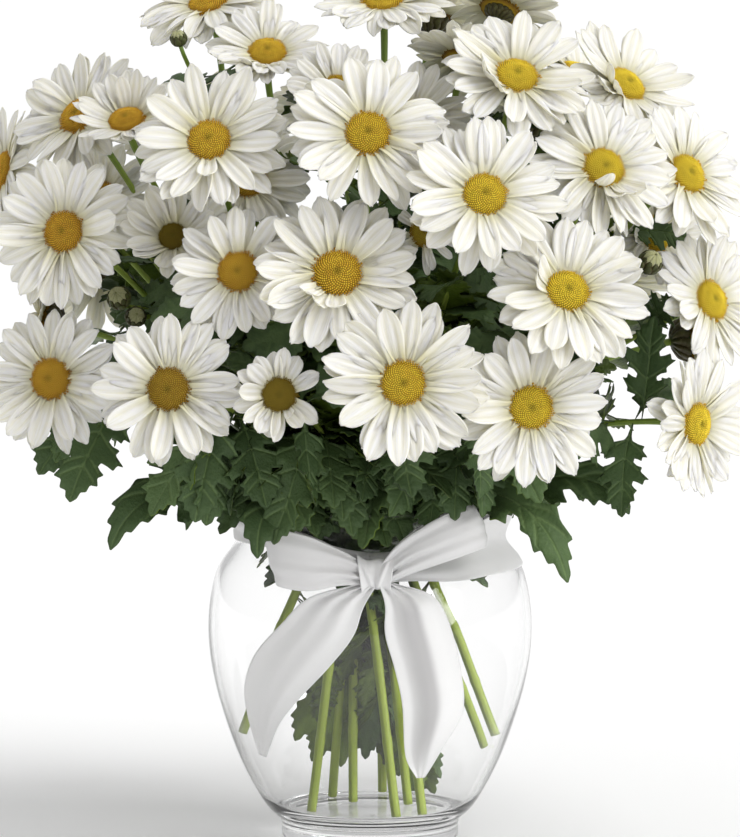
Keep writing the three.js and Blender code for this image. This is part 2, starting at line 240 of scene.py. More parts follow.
petalFace = petalLook("petal face", (0.96, 0.94, 0.865), (0.78, 0.735, 0.54), (0.62, 0.575, 0.31), 0.45)
petalBack = petalLook("petal back", (0.93, 0.905, 0.80), (0.75, 0.71, 0.52), (0.54, 0.50, 0.26), 0.5)
budSkin = petalLook("bud petals", (0.50, 0.50, 0.27), (0.34, 0.35, 0.15), (0.24, 0.27, 0.08), 0.5)
discSkin = discLook()
leafTop = leafLook("leaf top", (0.012, 0.027, 0.003), (0.105, 0.165, 0.010), (0.22, 0.31, 0.06), 0.34)
leafUnder = leafLook("leaf underside", (0.05, 0.09, 0.03), (0.09, 0.15, 0.05), (0.16, 0.24, 0.09), 0.5)
calyxSkin = leafLook("calyx bracts", (0.040, 0.045, 0.012), (0.10, 0.12, 0.03), (0.06, 0.035, 0.012), 0.45)
stemSkin = stemLook()
satin = satinLook()
clearGlass = glassLook()
print("materials made")


def linked(name, data):
    made = bpy.data.objects.new(name, data)
    bpy.context.scene.collection.objects.link(made)
    return made


class Shape:
    # Points, faces and named numbers at the points, gathered from several solids.
    def __init__(self):
        self.points = []
        self.faces = []
        self.values = {}

    def add(self, points, faces, **values):
        start = len(self.points)
        self.points.extend(points)
        self.faces.extend(tuple(start + i for i in face) for face in faces)
        for key, numbers in values.items():
            if isinstance(numbers, (int, float)):
                numbers = [numbers] * len(points)
            self.values.setdefault(key, []).extend(numbers)

    def addGrid(self, rows, closed=False, **values):
        across = len(rows[0])
        faces = []
        for i in range(0, (len(rows) - 1) * across, across):
            for j in range(across if closed else across - 1):
                k = (j + 1) % across
                faces.append((i + j, i + across + j, i + across + k, i + k))
        self.add([p for row in rows for p in row], faces, **values)

    def addTube(self, rows, capped=True, **values):
        # Rings of points, turned round so that the faces look outwards.
        start, sides = len(self.points), len(rows[0])
        self.addGrid([row[::-1] for row in rows], True, **values)
        if capped:
            last = start + (len(rows) - 1) * sides
            self.faces.append(tuple(range(start, start + sides)))
            self.faces.append(tuple(range(last + sides - 1, last - 1, -1)))

    def piece(self, name, looks, slotName, nodes, thickness=0, offset=-1):
        mesh = bpy.data.meshes.new(name)
        mesh.from_pydata([p * mm for p in self.points], [], self.faces)
        for key, numbers in self.values.items():
            mesh.attributes.new(key, "FLOAT", "POINT").data.foreach_set("value", numbers)
        for look in looks:
            mesh.materials.append(look)
        mesh.shade_smooth()
        made = linked(name, mesh)
        if thickness:
            thick = made.modifiers.new("thickness", "SOLIDIFY")
            thick.thickness = thickness * mm
            thick.offset = offset
            thick.use_quality_normals = True
            thick.material_offset = len(looks) - 1
        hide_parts(*nodes)
        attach(made, "root")
        return made


def smooth(low, high, x):
    t = min(max((x - low) / (high - low), 0), 1)
    return t * t * (3 - 2 * t)


def turns(count, first=0.0):
    # Angles that go once round a circle.
    return [first + 2 * pi * i / count for i in range(count)]


def polar(radius, turn, z):
    return Vector((radius * cos(turn), radius * sin(turn), z))


def passing(points):
    # A smooth line through a few points, spaced by the square root of their distances.
    line, steps = [], 16
    ends = [2 * points[0] - points[1], *points, 2 * points[-1] - points[-2]]
    for p0, p1, p2, p3 in zip(ends, ends[1:], ends[2:], ends[3:]):
        d0, d1, d2 = [sqrt((b - a).length) for a, b in ((p0, p1), (p1, p2), (p2, p3))]
        t1 = ((p1 - p0) / d0 - (p2 - p0) / (d0 + d1) + (p2 - p1) / d1) * d1
        t2 = ((p2 - p1) / d1 - (p3 - p1) / (d1 + d2) + (p3 - p2) / d2) * d1
        for i in range(steps):
            t = i / steps
            a, b = 2 * t**3 - 3 * t**2 + 1, -2 * t**3 + 3 * t**2
            line.append(a * p1 + b * p2 + (t**3 - 2 * t**2 + t) * t1 + (t**3 - t**2) * t2)
    return [*line, points[-1]]


def throughNumbers(rows, steps):
    # A smooth table between a few rows of numbers. Each p0 to p3 are four rows that follow one another.
    first, last = [[2 * a - b for a, b in zip(*pair)] for pair in (rows[:2], rows[:-3:-1])]
    ends = [first, *rows, last]
    table = []
    for p0, p1, p2, p3 in zip(ends, ends[1:], ends[2:], ends[3:]):
        for i in range(steps):
            t, row = i / steps, []
            for a, b, c, d in zip(p0, p1, p2, p3):
                square, cube = 2 * a - 5 * b + 4 * c - d, 3 * b - a - 3 * c + d
                row.append(0.5 * (2 * b + (c - a) * t + square * t * t + cube * t**3))
            table.append(row)
    return [*table, list(rows[-1])]


def bezier(ends, steps):
    line = []
    for i in range(steps + 1):
        points = list(ends)
        while len(points) > 1:
            points = [a.lerp(b, i / steps) for a, b in zip(points, points[1:])]
        line.append(points[0])
    return line


def spaced(line, count):
    lengths = [0]
    for a, b in zip(line, line[1:]):
        lengths.append(lengths[-1] + (b - a).length)
    evenly = []
    j = 0
    for i in range(count):
        want = lengths[-1] * i / (count - 1)
        while j < len(line) - 2 and lengths[j + 1] < want:
            j += 1
        share = (want - lengths[j]) / max(lengths[j + 1] - lengths[j], 1e-9)
        evenly.append(line[j].lerp(line[j + 1], min(share, 1)))
    return evenly


def tangentsOf(line):
    padded = [line[0], *line, line[-1]]
    return [(b - a).normalized() for a, b in zip(padded, padded[2:])]


def pointAt(line, share):
    # The point and the direction of a line at a share of its length.
    steps = 100
    evenly = spaced(line, steps + 1)
    i = min(max(share, 0), 1) * steps
    low = min(int(i), steps - 1)
    return evenly[low].lerp(evenly[low + 1], i - low), (evenly[low + 1] - evenly[low]).normalized()


# Each stem: where it stands or leans, where it passes the neck, where it forks, and the heads of its side
# shoots: x, y and z of the disc, the bearing of its face, its rise, and the reach of the petals.
stems = [
    {"start": (12, -38, 15.8), "neck": (-2, -9), "fork": (1, -44, 198), "heads": [
        (14, -160, 229, 4, 8, 37), (-14, -139, 274, 0, 26, 37.5), (-1, -125, 334, 4, 22, 37),
        (6, -22, 390, -4, 58, 34)]},
    {"start": (-18, 18, 15.6), "neck": (-9, 0), "fork": (-15, -36, 194), "heads": [
        (-39, -150, 223, -2, 6, 20.5), (-57, -126, 274, -8, 18, 31), (-14, -90, 351, 8, 30, 25),
        (-46, -54, 367, 2, 46, 29)]},
    {"start": (-27, -24, 15.6), "neck": (-13, -10), "fork": (-31, -30, 192), "heads": [
        (-87, -135, 224, -10, 6, 34.5), (-87, -90, 287, -5, 30, 24), (-70, -110, 330, -8, 30, 36.5),
        (-109, -60, 337, -15, 50, 26)]},
    {"start": (-58.9, -13.6, 51.7), "neck": (-30, -8), "fork": (-46, -16, 186), "heads": [
        (-141, -90, 224, -22, 10, 34), (-135, -85, 289, -22, 12, 35), (-169, 4, 312, -65, 15, 32),
        (-132, -30, 338, -35, 35, 34), (-74, -8, 389, -24, 56, 34)]},
    {"start": (18, 0, 15.5), "neck": (5, -2), "fork": (14, -40, 192), "heads": [
        (24, -119, 291, -10, 10, 20), (49, -140, 308, 10, 26, 36.5), (42, -36, 364, 160, 55, 27)]},
    {"start": (24, -32, 15.7), "neck": (11, -12), "fork": (28, -34, 194), "heads": [
        (69, -145, 217, 12, 6, 36), (85, -135, 266, 15, 30, 37), (65, -75, 357, 12, 42, 36),
        (60, 1, 386, 150, 50, 29)]},
    {"start": (57.5, -18.7, 51.7), "neck": (27, -9), "fork": (46, -20, 186), "heads": [
        (145, -80, 203, 48, 0, 34), (153, -54, 256, 42, 20, 34), (103, -88, 317, 18, 30, 35),
        (142, -55, 313, 38, 25, 35), (116, -30, 352, 40, 40, 34), (98, 34, 356, 70, 60, 30)]},
    {"start": (54.8, 11.6, 40), "neck": (17, 6), "fork": (38, 20, 194), "heads": [
        (150, 28, 232, 100, 10, 35), (118, 95, 256, 130, 20, 35), (78, 88, 329, 140, 42, 35)]},
    {"start": (6, 30, 15.7), "neck": (4, 9), "fork": (4, 38, 198), "heads": [
        (58, 138, 229, 158, 10, 35), (-12, 146, 256, 185, 20, 35), (-18, 105, 336, 190, 45, 34),
        (28, 52, 382, 170, 72, 34)]},
    {"start": (-8, 6, 15.4), "neck": (-8, 10), "fork": (-34, 24, 194), "heads": [
        (-152, 24, 240, 262, 10, 34), (-80, 126, 232, 212, 10, 35), (-127, 80, 262, 238, 18, 35),
        (-88, 62, 332, 235, 42, 35)]},
]
stemCut = {
    "neckHeight": 135, "steps": 60, "radius": 2.1, "taper": 0.06, "paintedLightHeights": (100, 150),
    "knuckles": (0.18, 0.36, 0.52, 0.68, 0.8, 0.92), "knuckleWidth": 0.012, "knuckleHeight": 0.28,
    "shootRadius": 1.35, "shootSteps": 40, "firstShoot": 0.8, "lastShoot": 0.97, "pull": 0.3, "pullMost": 34,
    "calyxDepth": 9, "calyxGap": 0.3, "fullReach": 36,
    # The steps of a stem's line that its upper leaves and the leaves in the vase grow on.
    "upper": slice(36, None), "sunk": slice(44),
}
# Each kind of stalk: its sides, its ribs, the ribs' depth and the share of the darker green.
stalkSkins = {"stem": (14, 6, 0.05, 0.2), "shoot": (12, 5, 0.06, 0.6), "bud": (10, 4, 0.06, 0.5)}


def stemNode(k):
    return f"stem_{k + 1:02d}"


class Head:
    # A flower head or a bud: its centre, its axis and its reach from them.
    def __init__(self, place, bearing, rise, reach):
        b, r = radians(bearing), radians(rise)
        self.centre = Vector(place)
        self.axis = Vector((sin(b) * cos(r), -cos(b) * cos(r), sin(r)))
        self.reach, self.share = reach, reach / stemCut["fullReach"]
        turnTo = up.rotation_difference(self.axis)
        self.right, self.ahead = turnTo @ Vector((1, 0, 0)), turnTo @ Vector((0, 1, 0))

    def level(self, turn):
        return self.right * cos(turn) + self.ahead * sin(turn)

    def aside(self, turn):
        return self.ahead * cos(turn) - self.right * sin(turn)

    def at(self, turn, radius, height):
        return self.centre + self.level(turn) * radius + self.axis * height


def sweep(shape, line, radii, kind):
    # A closed tube along a line, with ribs along its skin.
    sides, ribs, ribDepth, own = stalkSkins[kind]
    tangents = tangentsOf(line)
    side = tangents[0].orthogonal().normalized()
    rows, along, rib, low = [], [], [], []
    for i, (point, tangent) in enumerate(zip(line, tangents)):
        side = (side - tangent * side.dot(tangent)).normalized()
        other = tangent.cross(side)
        row = []
        for turn in turns(sides):
            wave = cos(ribs * turn)
            r = radii[i] * (1 + ribDepth * wave)
            row.append(point + side * (r * cos(turn)) + other * (r * sin(turn)))
            along.append(i / (len(line) - 1))
            rib.append(0.5 - 0.5 * wave)
            # How much painted light the stem takes: full low in the vase, fading out by the neck.
            low.append(1 - smooth(*stemCut["paintedLightHeights"], point.z))
        rows.append(row)
    shape.addTube(rows, along=along, rib=rib, low=low, own=own)


def stemRadius(t):
    swelling = sum(exp(-(((t - at) / stemCut["knuckleWidth"]) ** 2)) for at in stemCut["knuckles"])
    return stemCut["radius"] * (1 - stemCut["taper"] * t) + stemCut["knuckleHeight"] * swelling


def shootLine(line, share, head, steps):
    # A side shoot: it leaves a stem's line along it and ends in the cup behind the head's disc.
    root, way = pointAt(line, share)
    end = head.centre - head.axis * (
        stemCut["calyxDepth"] * head.reach / stemCut["fullReach"] + stemCut["calyxGap"])
    pull = (end - root).length * stemCut["pull"]
    controls = [root, root + way * pull, end - head.axis * min(pull, stemCut["pullMost"]), end]
    return spaced(bezier(controls, 40), steps + 1)


heads, stemLines, shootLines = [], [], []
for n, stem in enumerate(stems):
    start, fork = Vector(stem["start"]), Vector(stem["fork"])
    waist = Vector((*stem["neck"], stemCut["neckHeight"]))
    steps, shootSteps = stemCut["steps"], stemCut["shootSteps"]
    line = spaced(passing([start, (start + waist) / 2, waist, fork]), steps + 1)
    shape = Shape()
    sweep(shape, line, [stemRadius(i / steps) for i in range(steps + 1)], "stem")
    shoots = []
    for i, (x, y, z, bearing, rise, reach) in enumerate(stem["heads"]):
        head = Head((x, y, z), bearing, rise, reach)
        share = i / (len(stem["heads"]) - 1)
        at = stemCut["firstShoot"] + (stemCut["lastShoot"] - stemCut["firstShoot"]) * share
        shoots.append(shootLine(line, at, head, shootSteps))
        width = stemCut["shootRadius"] * (0.75 + 0.25 * reach / stemCut["fullReach"])
        radii = [
            width * (1 + 0.35 * exp(-i / 2.5) + 0.3 * smooth(shootSteps - 7, shootSteps, i))
            for i in range(shootSteps + 1)
        ]
        sweep(shape, shoots[-1], radii, "shoot")
        heads.append(head)
    shape.piece(stemNode(n) + "_skin", [stemSkin], "stem", [stemNode(n)])
    stemLines.append(line)
    shootLines.append(shoots)
print("stems made:", len(stems))


# A flower head of full size. Petals stand in an outer and an inner row. A few are missing and a few are odd,
# which means more twisted. Pairs of numbers are ranges, and what ends in Spread is a normal spread in degrees.
petal = {
    "rows": 12, "columns": 12, "thickness": 0.3, "rootRadius": 8.4, "halfWidth": 5.2, "widest": 0.58,
    "outer": 14, "inner": 14, "missing": 0.03, "odd": 0.12, "oddTwists": (-38, 34), "turn": (-0.24, 0.24),
    "lift": (0, 0.5), "lengths": (0.87, 1.0), "widths": (0.84, 1.08), "pitch": 4, "pitchSpread": 5, "bend": -3,
    "bendSpread": 11, "twistSpread": 10, "swaySpread": 7, "channel": (-0.1, 0.34),
    "notches": (0.0, 0.01, 0.02, 0.03), "tipRound": 0.05, "grooves": 2.5, "ridge": 0.085,
    "frillLengths": (0.42, 0.6),
}
disc = {
    "radius": 11.0, "height": 4.8, "florets": 520, "open": 0.9, "goldenTurn": 2.399963, "tone": 0.56,
    "toneSpread": 0.12, "floretTones": 0.25, "sizes": (0.85, 1.15), "heights": (0.75, 1.3), "edge": 0.985,
    "rings": (0.001, 0.3, 0.6, 0.85, 0.97, 0.9, 0.001), "sides": 24,
    # Rows of a floret: its width, its height and how bright it is painted there, dark at the foot as painted
    # shade between the florets.
    "openFloret": [(0.8, -0.4, 0.0), (0.85, 0.45, 0.45), (1.25, 0.95, 1.0), (0.45, 0.7, 0.6)],
    "closedFloret": [(0.95, -0.4, 0.0), (1.05, 0.4, 0.45), (0.85, 0.8, 0.85), (0.35, 1.0, 1.0)],
}
calyx = {
    "profile": [(1.7, -9.3), (3.6, -8.8), (6.8, -6.9), (9.2, -4.4), (10.2, -2.3), (10.3, -1.5)], "sides": 20,
    "bracts": 14, "steps": 5,
    # Rows of bracts: from and to which height, how wide and how far out they stand.
    "rows": [(-8.9, -5.0, 0.85, 0.9), (-7.9, -2.9, 0.95, 0.6), (-6.4, -0.8, 1.0, 0.3)],
}


def petalHalfWidth(t):
    # Half width along a petal, as a share of its widest.
    body = 0.64 + 0.36 * smooth(-0.05, petal["widest"], t)
    return body * sqrt(max(0, 1 - max((t - petal["widest"]) / 0.43, 0) ** 2.7))


def addPetal(shape, head, turn, root, lift, length, half, pitch, bend, twist, sway, channel, notch, own, deep):
    rows, columns = petal["rows"], petal["columns"]
    out, aside, front = head.level(turn), head.aside(turn), head.axis
    place = head.at(turn, root, lift)
    grid, along, across, groove = [], [], [], []
    before = 0
    for i in range(rows + 1):
        t = 1 - (1 - i / rows) ** 1.3
        angle = radians(pitch + bend * t + 0.35 * bend * t * t)
        yaw = radians(sway * t)
        level = out * cos(yaw) + aside * sin(yaw)
        way = level * cos(angle) + front * sin(angle)
        place = place + way * (length * (t - before))
        before = t
        side = (aside * cos(yaw) - out * sin(yaw)).normalized()
        roll = radians(twist * t)
        normal = way.cross(side)
        side, normal = side * cos(roll) + normal * sin(roll), normal * cos(roll) - side * sin(roll)
        width = half * petalHalfWidth(t)
        row = []
        for j in range(columns + 1):
            s = 2 * j / columns - 1
            tipRound = petal["tipRound"] * (1 - s * s) * t**5
            tooth = notch * (0.5 + 0.5 * cos(2 * pi * 1.5 * s)) * t**6
            crest = cos(petal["grooves"] * pi * (s + 0.1 * own)) * sin(pi * min(t * 0.97, 1))
            ridge = petal["ridge"] * half * crest
            curl = channel * half * (s * s - 0.35) * (0.35 + 0.65 * sin(pi * min(0.2 + t * 0.8, 1)))
            point = place + side * (width * s) + way * (length * (tipRound - tooth)) + normal * (ridge + curl)
            row.append(point)
            along.append(t)
            across.append(s)
            groove.append(0.5 - 0.5 * crest)
        grid.append(row)
    shape.addGrid(grid, along=along, across=across, groove=groove, own=own, deep=deep)


def discScale(head, mood):
    # The discs differ less in size than the petals' reach does.
    return (0.45 + 0.55 * head.reach / stemCut["fullReach"]) * mood.get("disc", 1)


def makePetals(name, head, mood, rng, node):
    shape, scale = Shape(), head.share
    root = petal["rootRadius"] * discScale(head, mood)
    length = head.reach - root
    pitch, bend = mood.get("pitch", petal["pitch"]), mood.get("bend", petal["bend"])
    first = rng.uniform(0, 6)
    for inner, ring in enumerate(("outer", "inner")):
        count = mood.get(ring, petal[ring])
        for i in range(count):
            if rng.random() < mood.get("missing", petal["missing"]):
                continue
            turn = first + 2 * pi * (i + 0.5 * inner + rng.uniform(*petal["turn"])) / count
            odd = rng.random() < petal["odd"]
            height = head.level(turn).z
            morePitch, moreBend = mood.get("high" if height > 0 else "low", (0, 0))
            # A petal's deep number is how much painted shade its root takes: full in the outer row, which the
            # inner row hides, a quarter in the inner row.
            addPetal(
                shape, head, turn, root, lift=(0.5 + 0.7 * inner + rng.uniform(*petal["lift"])) * scale,
                length=length * (rng.uniform(*petal["lengths"]) - 0.05 * inner) * mood.get("length", 1),
                half=petal["halfWidth"] * scale * rng.uniform(*petal["widths"]) * mood.get("width", 1),
                pitch=pitch + 6 * inner + rng.gauss(0, petal["pitchSpread"]) + morePitch * abs(height),
                bend=bend + rng.gauss(0, petal["bendSpread"]) + moreBend * abs(height),
                twist=rng.gauss(0, petal["twistSpread"]) + odd * rng.choice(petal["oddTwists"]),
                sway=rng.gauss(0, petal["swaySpread"]), channel=rng.uniform(*petal["channel"]) + odd * 0.3,
                notch=rng.choice(petal["notches"]), own=rng.random(), deep=0.25 if inner else 1.0,
            )
    for angle, pitch, bend, twist in mood.get("over", ()):
        seen = Vector((cos(radians(angle)), 0, sin(radians(angle))))
        turn = atan2(seen.dot(head.ahead), seen.dot(head.right))
        addPetal(
            shape, head, turn, root * 1.05, lift=1.6 * scale,
            length=length * rng.uniform(*petal["frillLengths"]), half=petal["halfWidth"] * scale * 0.85,
            pitch=pitch, bend=bend, twist=twist, sway=0, channel=0.3, notch=0.05, own=rng.random(), deep=0,
        )
    shape.piece(name, [petalFace, petalBack], "petal", [node], petal["thickness"] * max(scale, 0.7))


def addFloret(shape, foot, way, side, radius, height, opened, numbers):
    other = way.cross(side)
    count = 8 if opened else 6
    rows, tip = [], []
    for k, (r, h, bright) in enumerate(disc["openFloret" if opened else "closedFloret"]):
        row = []
        for j, turn in enumerate(turns(count)):
            reach = r * radius * (0.62 if j % 2 and opened and k == 2 else 1.0)
            row.append(foot + way * (height * h) + side * (reach * cos(turn)) + other * (reach * sin(turn)))
            tip.append(bright)
        rows.append(row)
    shape.addTube(rows, tip=tip, **numbers)


def makeDisc(name, head, mood, rng, node):
    shape, scale = Shape(), discScale(head, mood)
    spread = disc["toneSpread"]
    # Painted shade: the further left a disc stands, away from the lamps, the darker and more amber it is
    # painted; the rest of its tone differs by mood and at random.
    tone = disc["tone"] + mood.get("tone", 0) + head.centre.x / 170 + rng.uniform(-spread, spread)
    tone = min(max(tone, 0.05), 1.0)
    young = mood.get("young", 0.0)

    def dome(out):
        dimple = 0.8 * exp(-((out / 0.2) ** 2)) + 0.4 * exp(-(((out - 0.55) / 0.12) ** 2))
        return (disc["height"] * (1 - out**2.6) - dimple) * scale

    rows, out = [], []
    for i, ring in enumerate(disc["rings"]):
        height = -1.4 * scale if i > 4 else dome(ring) - 0.5 * scale
        rows.append([head.at(turn, ring * disc["radius"] * scale, height) for turn in turns(disc["sides"])])
        out.extend([ring] * disc["sides"])
    shape.addGrid(rows, True, out=out, tip=0.0, tone=tone, young=young)
    total = disc["florets"]
    for k in range(total):
        place = sqrt((k + 0.5) / total) * disc["edge"]
        turn = disc["goldenTurn"] * k
        level, aside = head.level(turn), head.aside(turn)
        opened = place > disc["open"]
        lean = 0.25 * place + (0.35 * smooth(disc["open"], 1, place))
        way = (head.axis * cos(lean) + level * sin(lean) + aside * rng.uniform(-0.08, 0.08)).normalized()
        foot = head.at(turn, place * disc["radius"] * scale, dome(place) - 0.35 * scale)
        side = aside - way * aside.dot(way)
        size = (0.42 if opened else 0.30 + 0.05 * place) * scale * rng.uniform(*disc["sizes"])
        tall = (1.15 if opened else 0.8) * scale * rng.uniform(*disc["heights"])
        own = tone + rng.uniform(-disc["floretTones"], disc["floretTones"])
        numbers = {"out": place, "tone": min(max(own, 0), 1), "young": young}
        addFloret(shape, foot, way, side.normalized(), size, tall, opened, numbers)
    shape.piece(name, [discSkin], "disc", [node])


def cupRadius(height):
    for (r0, h0), (r1, h1) in zip(calyx["profile"], calyx["profile"][1:]):
        if height <= h1:
            return r0 + (r1 - r0) * (height - h0) / (h1 - h0)
    return calyx["profile"][-1][0]


def makeCalyx(name, head, mood, rng, node):
    shape = Shape()
    scale = head.share * mood.get("calyx", 1)

    def at(turn, radius, height):
        return head.at(turn, radius * scale, height * scale)

    cup = [(0.01, -9.3), *calyx["profile"], (0.01, -1.3)]
    rows = [[at(turn, r, h) for turn in turns(calyx["sides"])] for r, h in cup]
    shape.addTube(rows[::-1], False, vein=0.0, own=0.3)
    steps = calyx["steps"]
    for low, high, wide, stand in calyx["rows"]:
        for middle in turns(calyx["bracts"], rng.uniform(0, 6)):
            ring, vein, own = [], [], rng.random()
            for k in range(steps + 1):
                t = k / steps
                height = low + (high - low) * t
                half = wide * pi / calyx["bracts"] * sqrt(max(0.02, 1 - (2 * t - 0.9) ** 2))
                stood = stand + 0.5 * sin(pi * t) + 0.3 * t
                front, back = [
                    [at(middle + half * s, cupRadius(height) + out - 0.25 * s * s, height) for s in (-1, 0, 1)]
                    for out in (stood + 0.28, stood - 0.05)
                ]
                ring.append([*front, *back[::-1]])
                vein.extend([0.9, 0.2 + 0.6 * (k == steps), 0.9, 0.9, 0.5, 0.9])
            shape.addTube(ring, vein=vein, own=own)
    shape.piece(name, [calyxSkin], "leaf", [node])


def makeFlower(prefix, label, head, mood, seed, node):
    rng = random.Random(seed)
    for kind, make in (("petals", makePetals), ("disc", makeDisc), ("calyx", makeCalyx)):
        make(f"{prefix}{kind}_{label}", head, mood, rng, node)


# Heads that differ from the full open flower, by number. High and low give the petals above and below the disc
# more pitch and more bend. Over lists short petals that fall over the disc: angle, pitch, bend and twist.
moods = {
    2: {"over": [(225, 30, 30, 20), (246, 26, 34, -25), (268, 30, 24, 10)], "disc": 1.08},
    4: {"low": (22, -30)},
    5: {"outer": 9, "inner": 9, "young": 0.9, "width": 1.3, "pitch": 9, "over": [(300, 30, 40, 20)]},
    6: {"tone": -0.15},
    7: {"pitch": 14, "young": 0.3},
    8: {
        "high": (12, -6), "low": (52, -16), "over": [(238, 10, 50, 30), (262, 16, 44, 0), (284, 12, 50, -30)],
    },
    9: {"young": 0.5},
    10: {
        "outer": 10, "inner": 10, "young": 1.0, "pitch": 26, "bend": 8, "disc": 0.85, "width": 1.25,
        "length": 1.15,
    },
    11: {"tone": 0.25, "over": [(274, 20, 20, 0)]},
    12: {"pitch": 22, "bend": 6, "high": (16, 0)},
    17: {"low": (8, -26)},
    18: {
        "outer": 9, "inner": 6, "pitch": -14, "bend": -42, "width": 0.7, "missing": 0.1, "young": 0.5,
        "disc": 0.8,
    },
    20: {"pitch": -2, "bend": -10, "calyx": 0.8},
    22: {"over": [(150, 38, 30, 10), (176, 34, 36, -10)]},
    23: {"over": [(184, 30, 34, 15), (202, 24, 44, -10), (220, 30, 30, 20), (238, 20, 40, -20)]},
    24: {"pitch": 8, "calyx": 0.8},
    27: {"over": [(252, 54, 40, 40), (272, 20, 36, 10), (292, 16, 40, -20), (310, 20, 30, 20)]},
    29: {"over": [(200, 30, 40, 10), (225, 26, 30, -20)]},
}
for n, head in enumerate(heads):
    label = f"{n + 1:02d}"
    makeFlower("", label, head, moods.get(n + 1, {}), seeds["flower"] + n, f"daisy_{label}")

# Four more flowers show only in part, deep between the others. Each one's stem, disc's place, bearing, rise
# and reach.
deepFlowers = [
    (3, (-124, -8, 299), -20, 20, 30), (1, (-55, -58, 311), 4, 22, 31), (4, (18, -58, 338), 14, 34, 30),
    (7, (130, -22, 284), 38, 14, 27),
]
deepCut = {"share": 0.94, "steps": 30, "radius": 1.15, "pitch": 10}
deepHeads = []
for n, (k, place, bearing, rise, reach) in enumerate(deepFlowers):
    head = Head(place, bearing, rise, reach)
    makeFlower("deep_", n + 1, head, {"pitch": deepCut["pitch"]}, seeds["deep"] + n, stemNode(k))
    stalk, steps = Shape(), deepCut["steps"]
    line = shootLine(stemLines[k], deepCut["share"], head, steps)
    sweep(stalk, line, [deepCut["radius"]] * (steps + 1), "shoot")
    stalk.piece(f"deep_stalk_{n + 1}", [stemSkin], "stem", [stemNode(k)])
    deepHeads.append(head)
print("flower heads made:", len(heads), "and", len(deepHeads))


# A lobed leaf: half its outline, from the foot of its stalk to its tip, and its veins, as shares of its length
# and of its half width.
leafCut = {
    "half": [
        (0.0, 0.05), (0.16, 0.06), (0.215, 0.13), (0.25, 0.40), (0.265, 0.63), (0.31, 0.57), (0.385, 0.82),
        (0.385, 0.62), (0.43, 0.62), (0.41, 0.46), (0.40, 0.32), (0.44, 0.31), (0.475, 0.46), (0.495, 0.68),
        (0.54, 0.63), (0.625, 1.0), (0.625, 0.81), (0.68, 0.76), (0.65, 0.54), (0.635, 0.37), (0.675, 0.34),
        (0.71, 0.45), (0.735, 0.58), (0.775, 0.46), (0.845, 0.57), (0.85, 0.37), (0.91, 0.35), (0.915, 0.19),
        (0.965, 0.15), (1.0, 0.0),
    ],
    "veins": [
        ((0.0, 0.0), (0.98, 0.0)), ((0.2, 0.0), (0.365, 0.7)), ((0.4, 0.0), (0.6, 0.88)),
        ((0.61, 0.0), (0.745, 0.47)), ((0.7, 0.0), (0.83, 0.45)),
    ],
    "fineStep": 0.05, "coarseStep": 0.085, "coarseVeins": 0.35, "veinWidth": 0.015, "cornerCut": 0.13,
    "thickness": 0.45, "grooveDepth": 0.3, "widthShare": 0.42, "fold": 0.16, "steps": 40, "roll": 0.35,
    "ripple": 0.09, "edgeWaves": 24, "edge": 0.012,
    "probe": (0.5, 0.9, 0.9, 0.7, 0.4, 0),
}


def leafPlan(step, showVeins):
    # The flat leaf as points, triangles and how much each point is a vein.
    half, wide, cut = leafCut["half"], leafCut["widthShare"], leafCut["cornerCut"]
    outline = [*half, *[(x, -y) for x, y in half[-2:0:-1]]]
    ring = []
    for (x0, y0), (x1, y1) in zip(outline, outline[1:] + outline[:1]):
        for a, b in ((1 - cut, cut), (cut, 1 - cut)):
            ring.append(Vector((x0 * a + x1 * b, (y0 * a + y1 * b) * wide)))
    veins = []
    for (x0, y0), (x1, y1) in leafCut["veins"]:
        for mirror in ((wide, -wide) if y1 else (wide,)):
            veins.append((Vector((x0, y0 * mirror)), Vector((x1, y1 * mirror))))

    def veinAt(p):
        near = 1
        for i, (a, b) in enumerate(veins):
            share = min(max((p - a).dot(b - a) / (b - a).length_squared, 0), 1)
            near = min(near, (p - a.lerp(b, share)).length + 0.0025 * (i > 0))
        return (1 - smooth(0.0, leafCut["veinWidth"], near)) * showVeins

    def within(p):
        crossed = 0
        for a, b in zip(ring, ring[1:] + ring[:1]):
            if (a.y > p.y) != (b.y > p.y) and p.x < a.x + (p.y - a.y) / (b.y - a.y) * (b.x - a.x):
                crossed += 1
        return crossed % 2

    inside = []
    for a, b in veins:
        count = max(2, int((b - a).length / (step * 0.8)))
        beside = Vector((a.y - b.y, b.x - a.x)).normalized() * leafCut["veinWidth"] * 1.3
        for k in range(count):
            p = a.lerp(b, (k + 0.5) / count)
            sides = (p, p + beside, p - beside) if showVeins == 1 else (p,)
            inside.extend(q for q in sides if within(q))
    for i in range(int(1 / step) + 2):
        for j in range(-10, 11):
            p = Vector(((i + 0.5 * (j % 2)) * step, j * step * 0.8))
            if within(p) and min((p - q).length for q in ring + inside) > step * 0.42:
                inside.append(p)
    edges = [(i, (i + 1) % len(ring)) for i in range(len(ring))]
    points, _, faces, *_ = geometry.delaunay_2d_cdt(ring + inside, edges, [], 1, 1e-6)
    faces = [tuple(f) for f in faces if within(sum((points[i] for i in f), Vector((0, 0))) / 3)]
    return [(p.x, p.y / wide) for p in points], faces, [veinAt(p) for p in points]


finePlan = leafPlan(leafCut["fineStep"], 1)
coarsePlan = leafPlan(leafCut["coarseStep"], leafCut["coarseVeins"])
print("leaf plans:", len(finePlan[1]), "and", len(coarsePlan[1]), "faces")


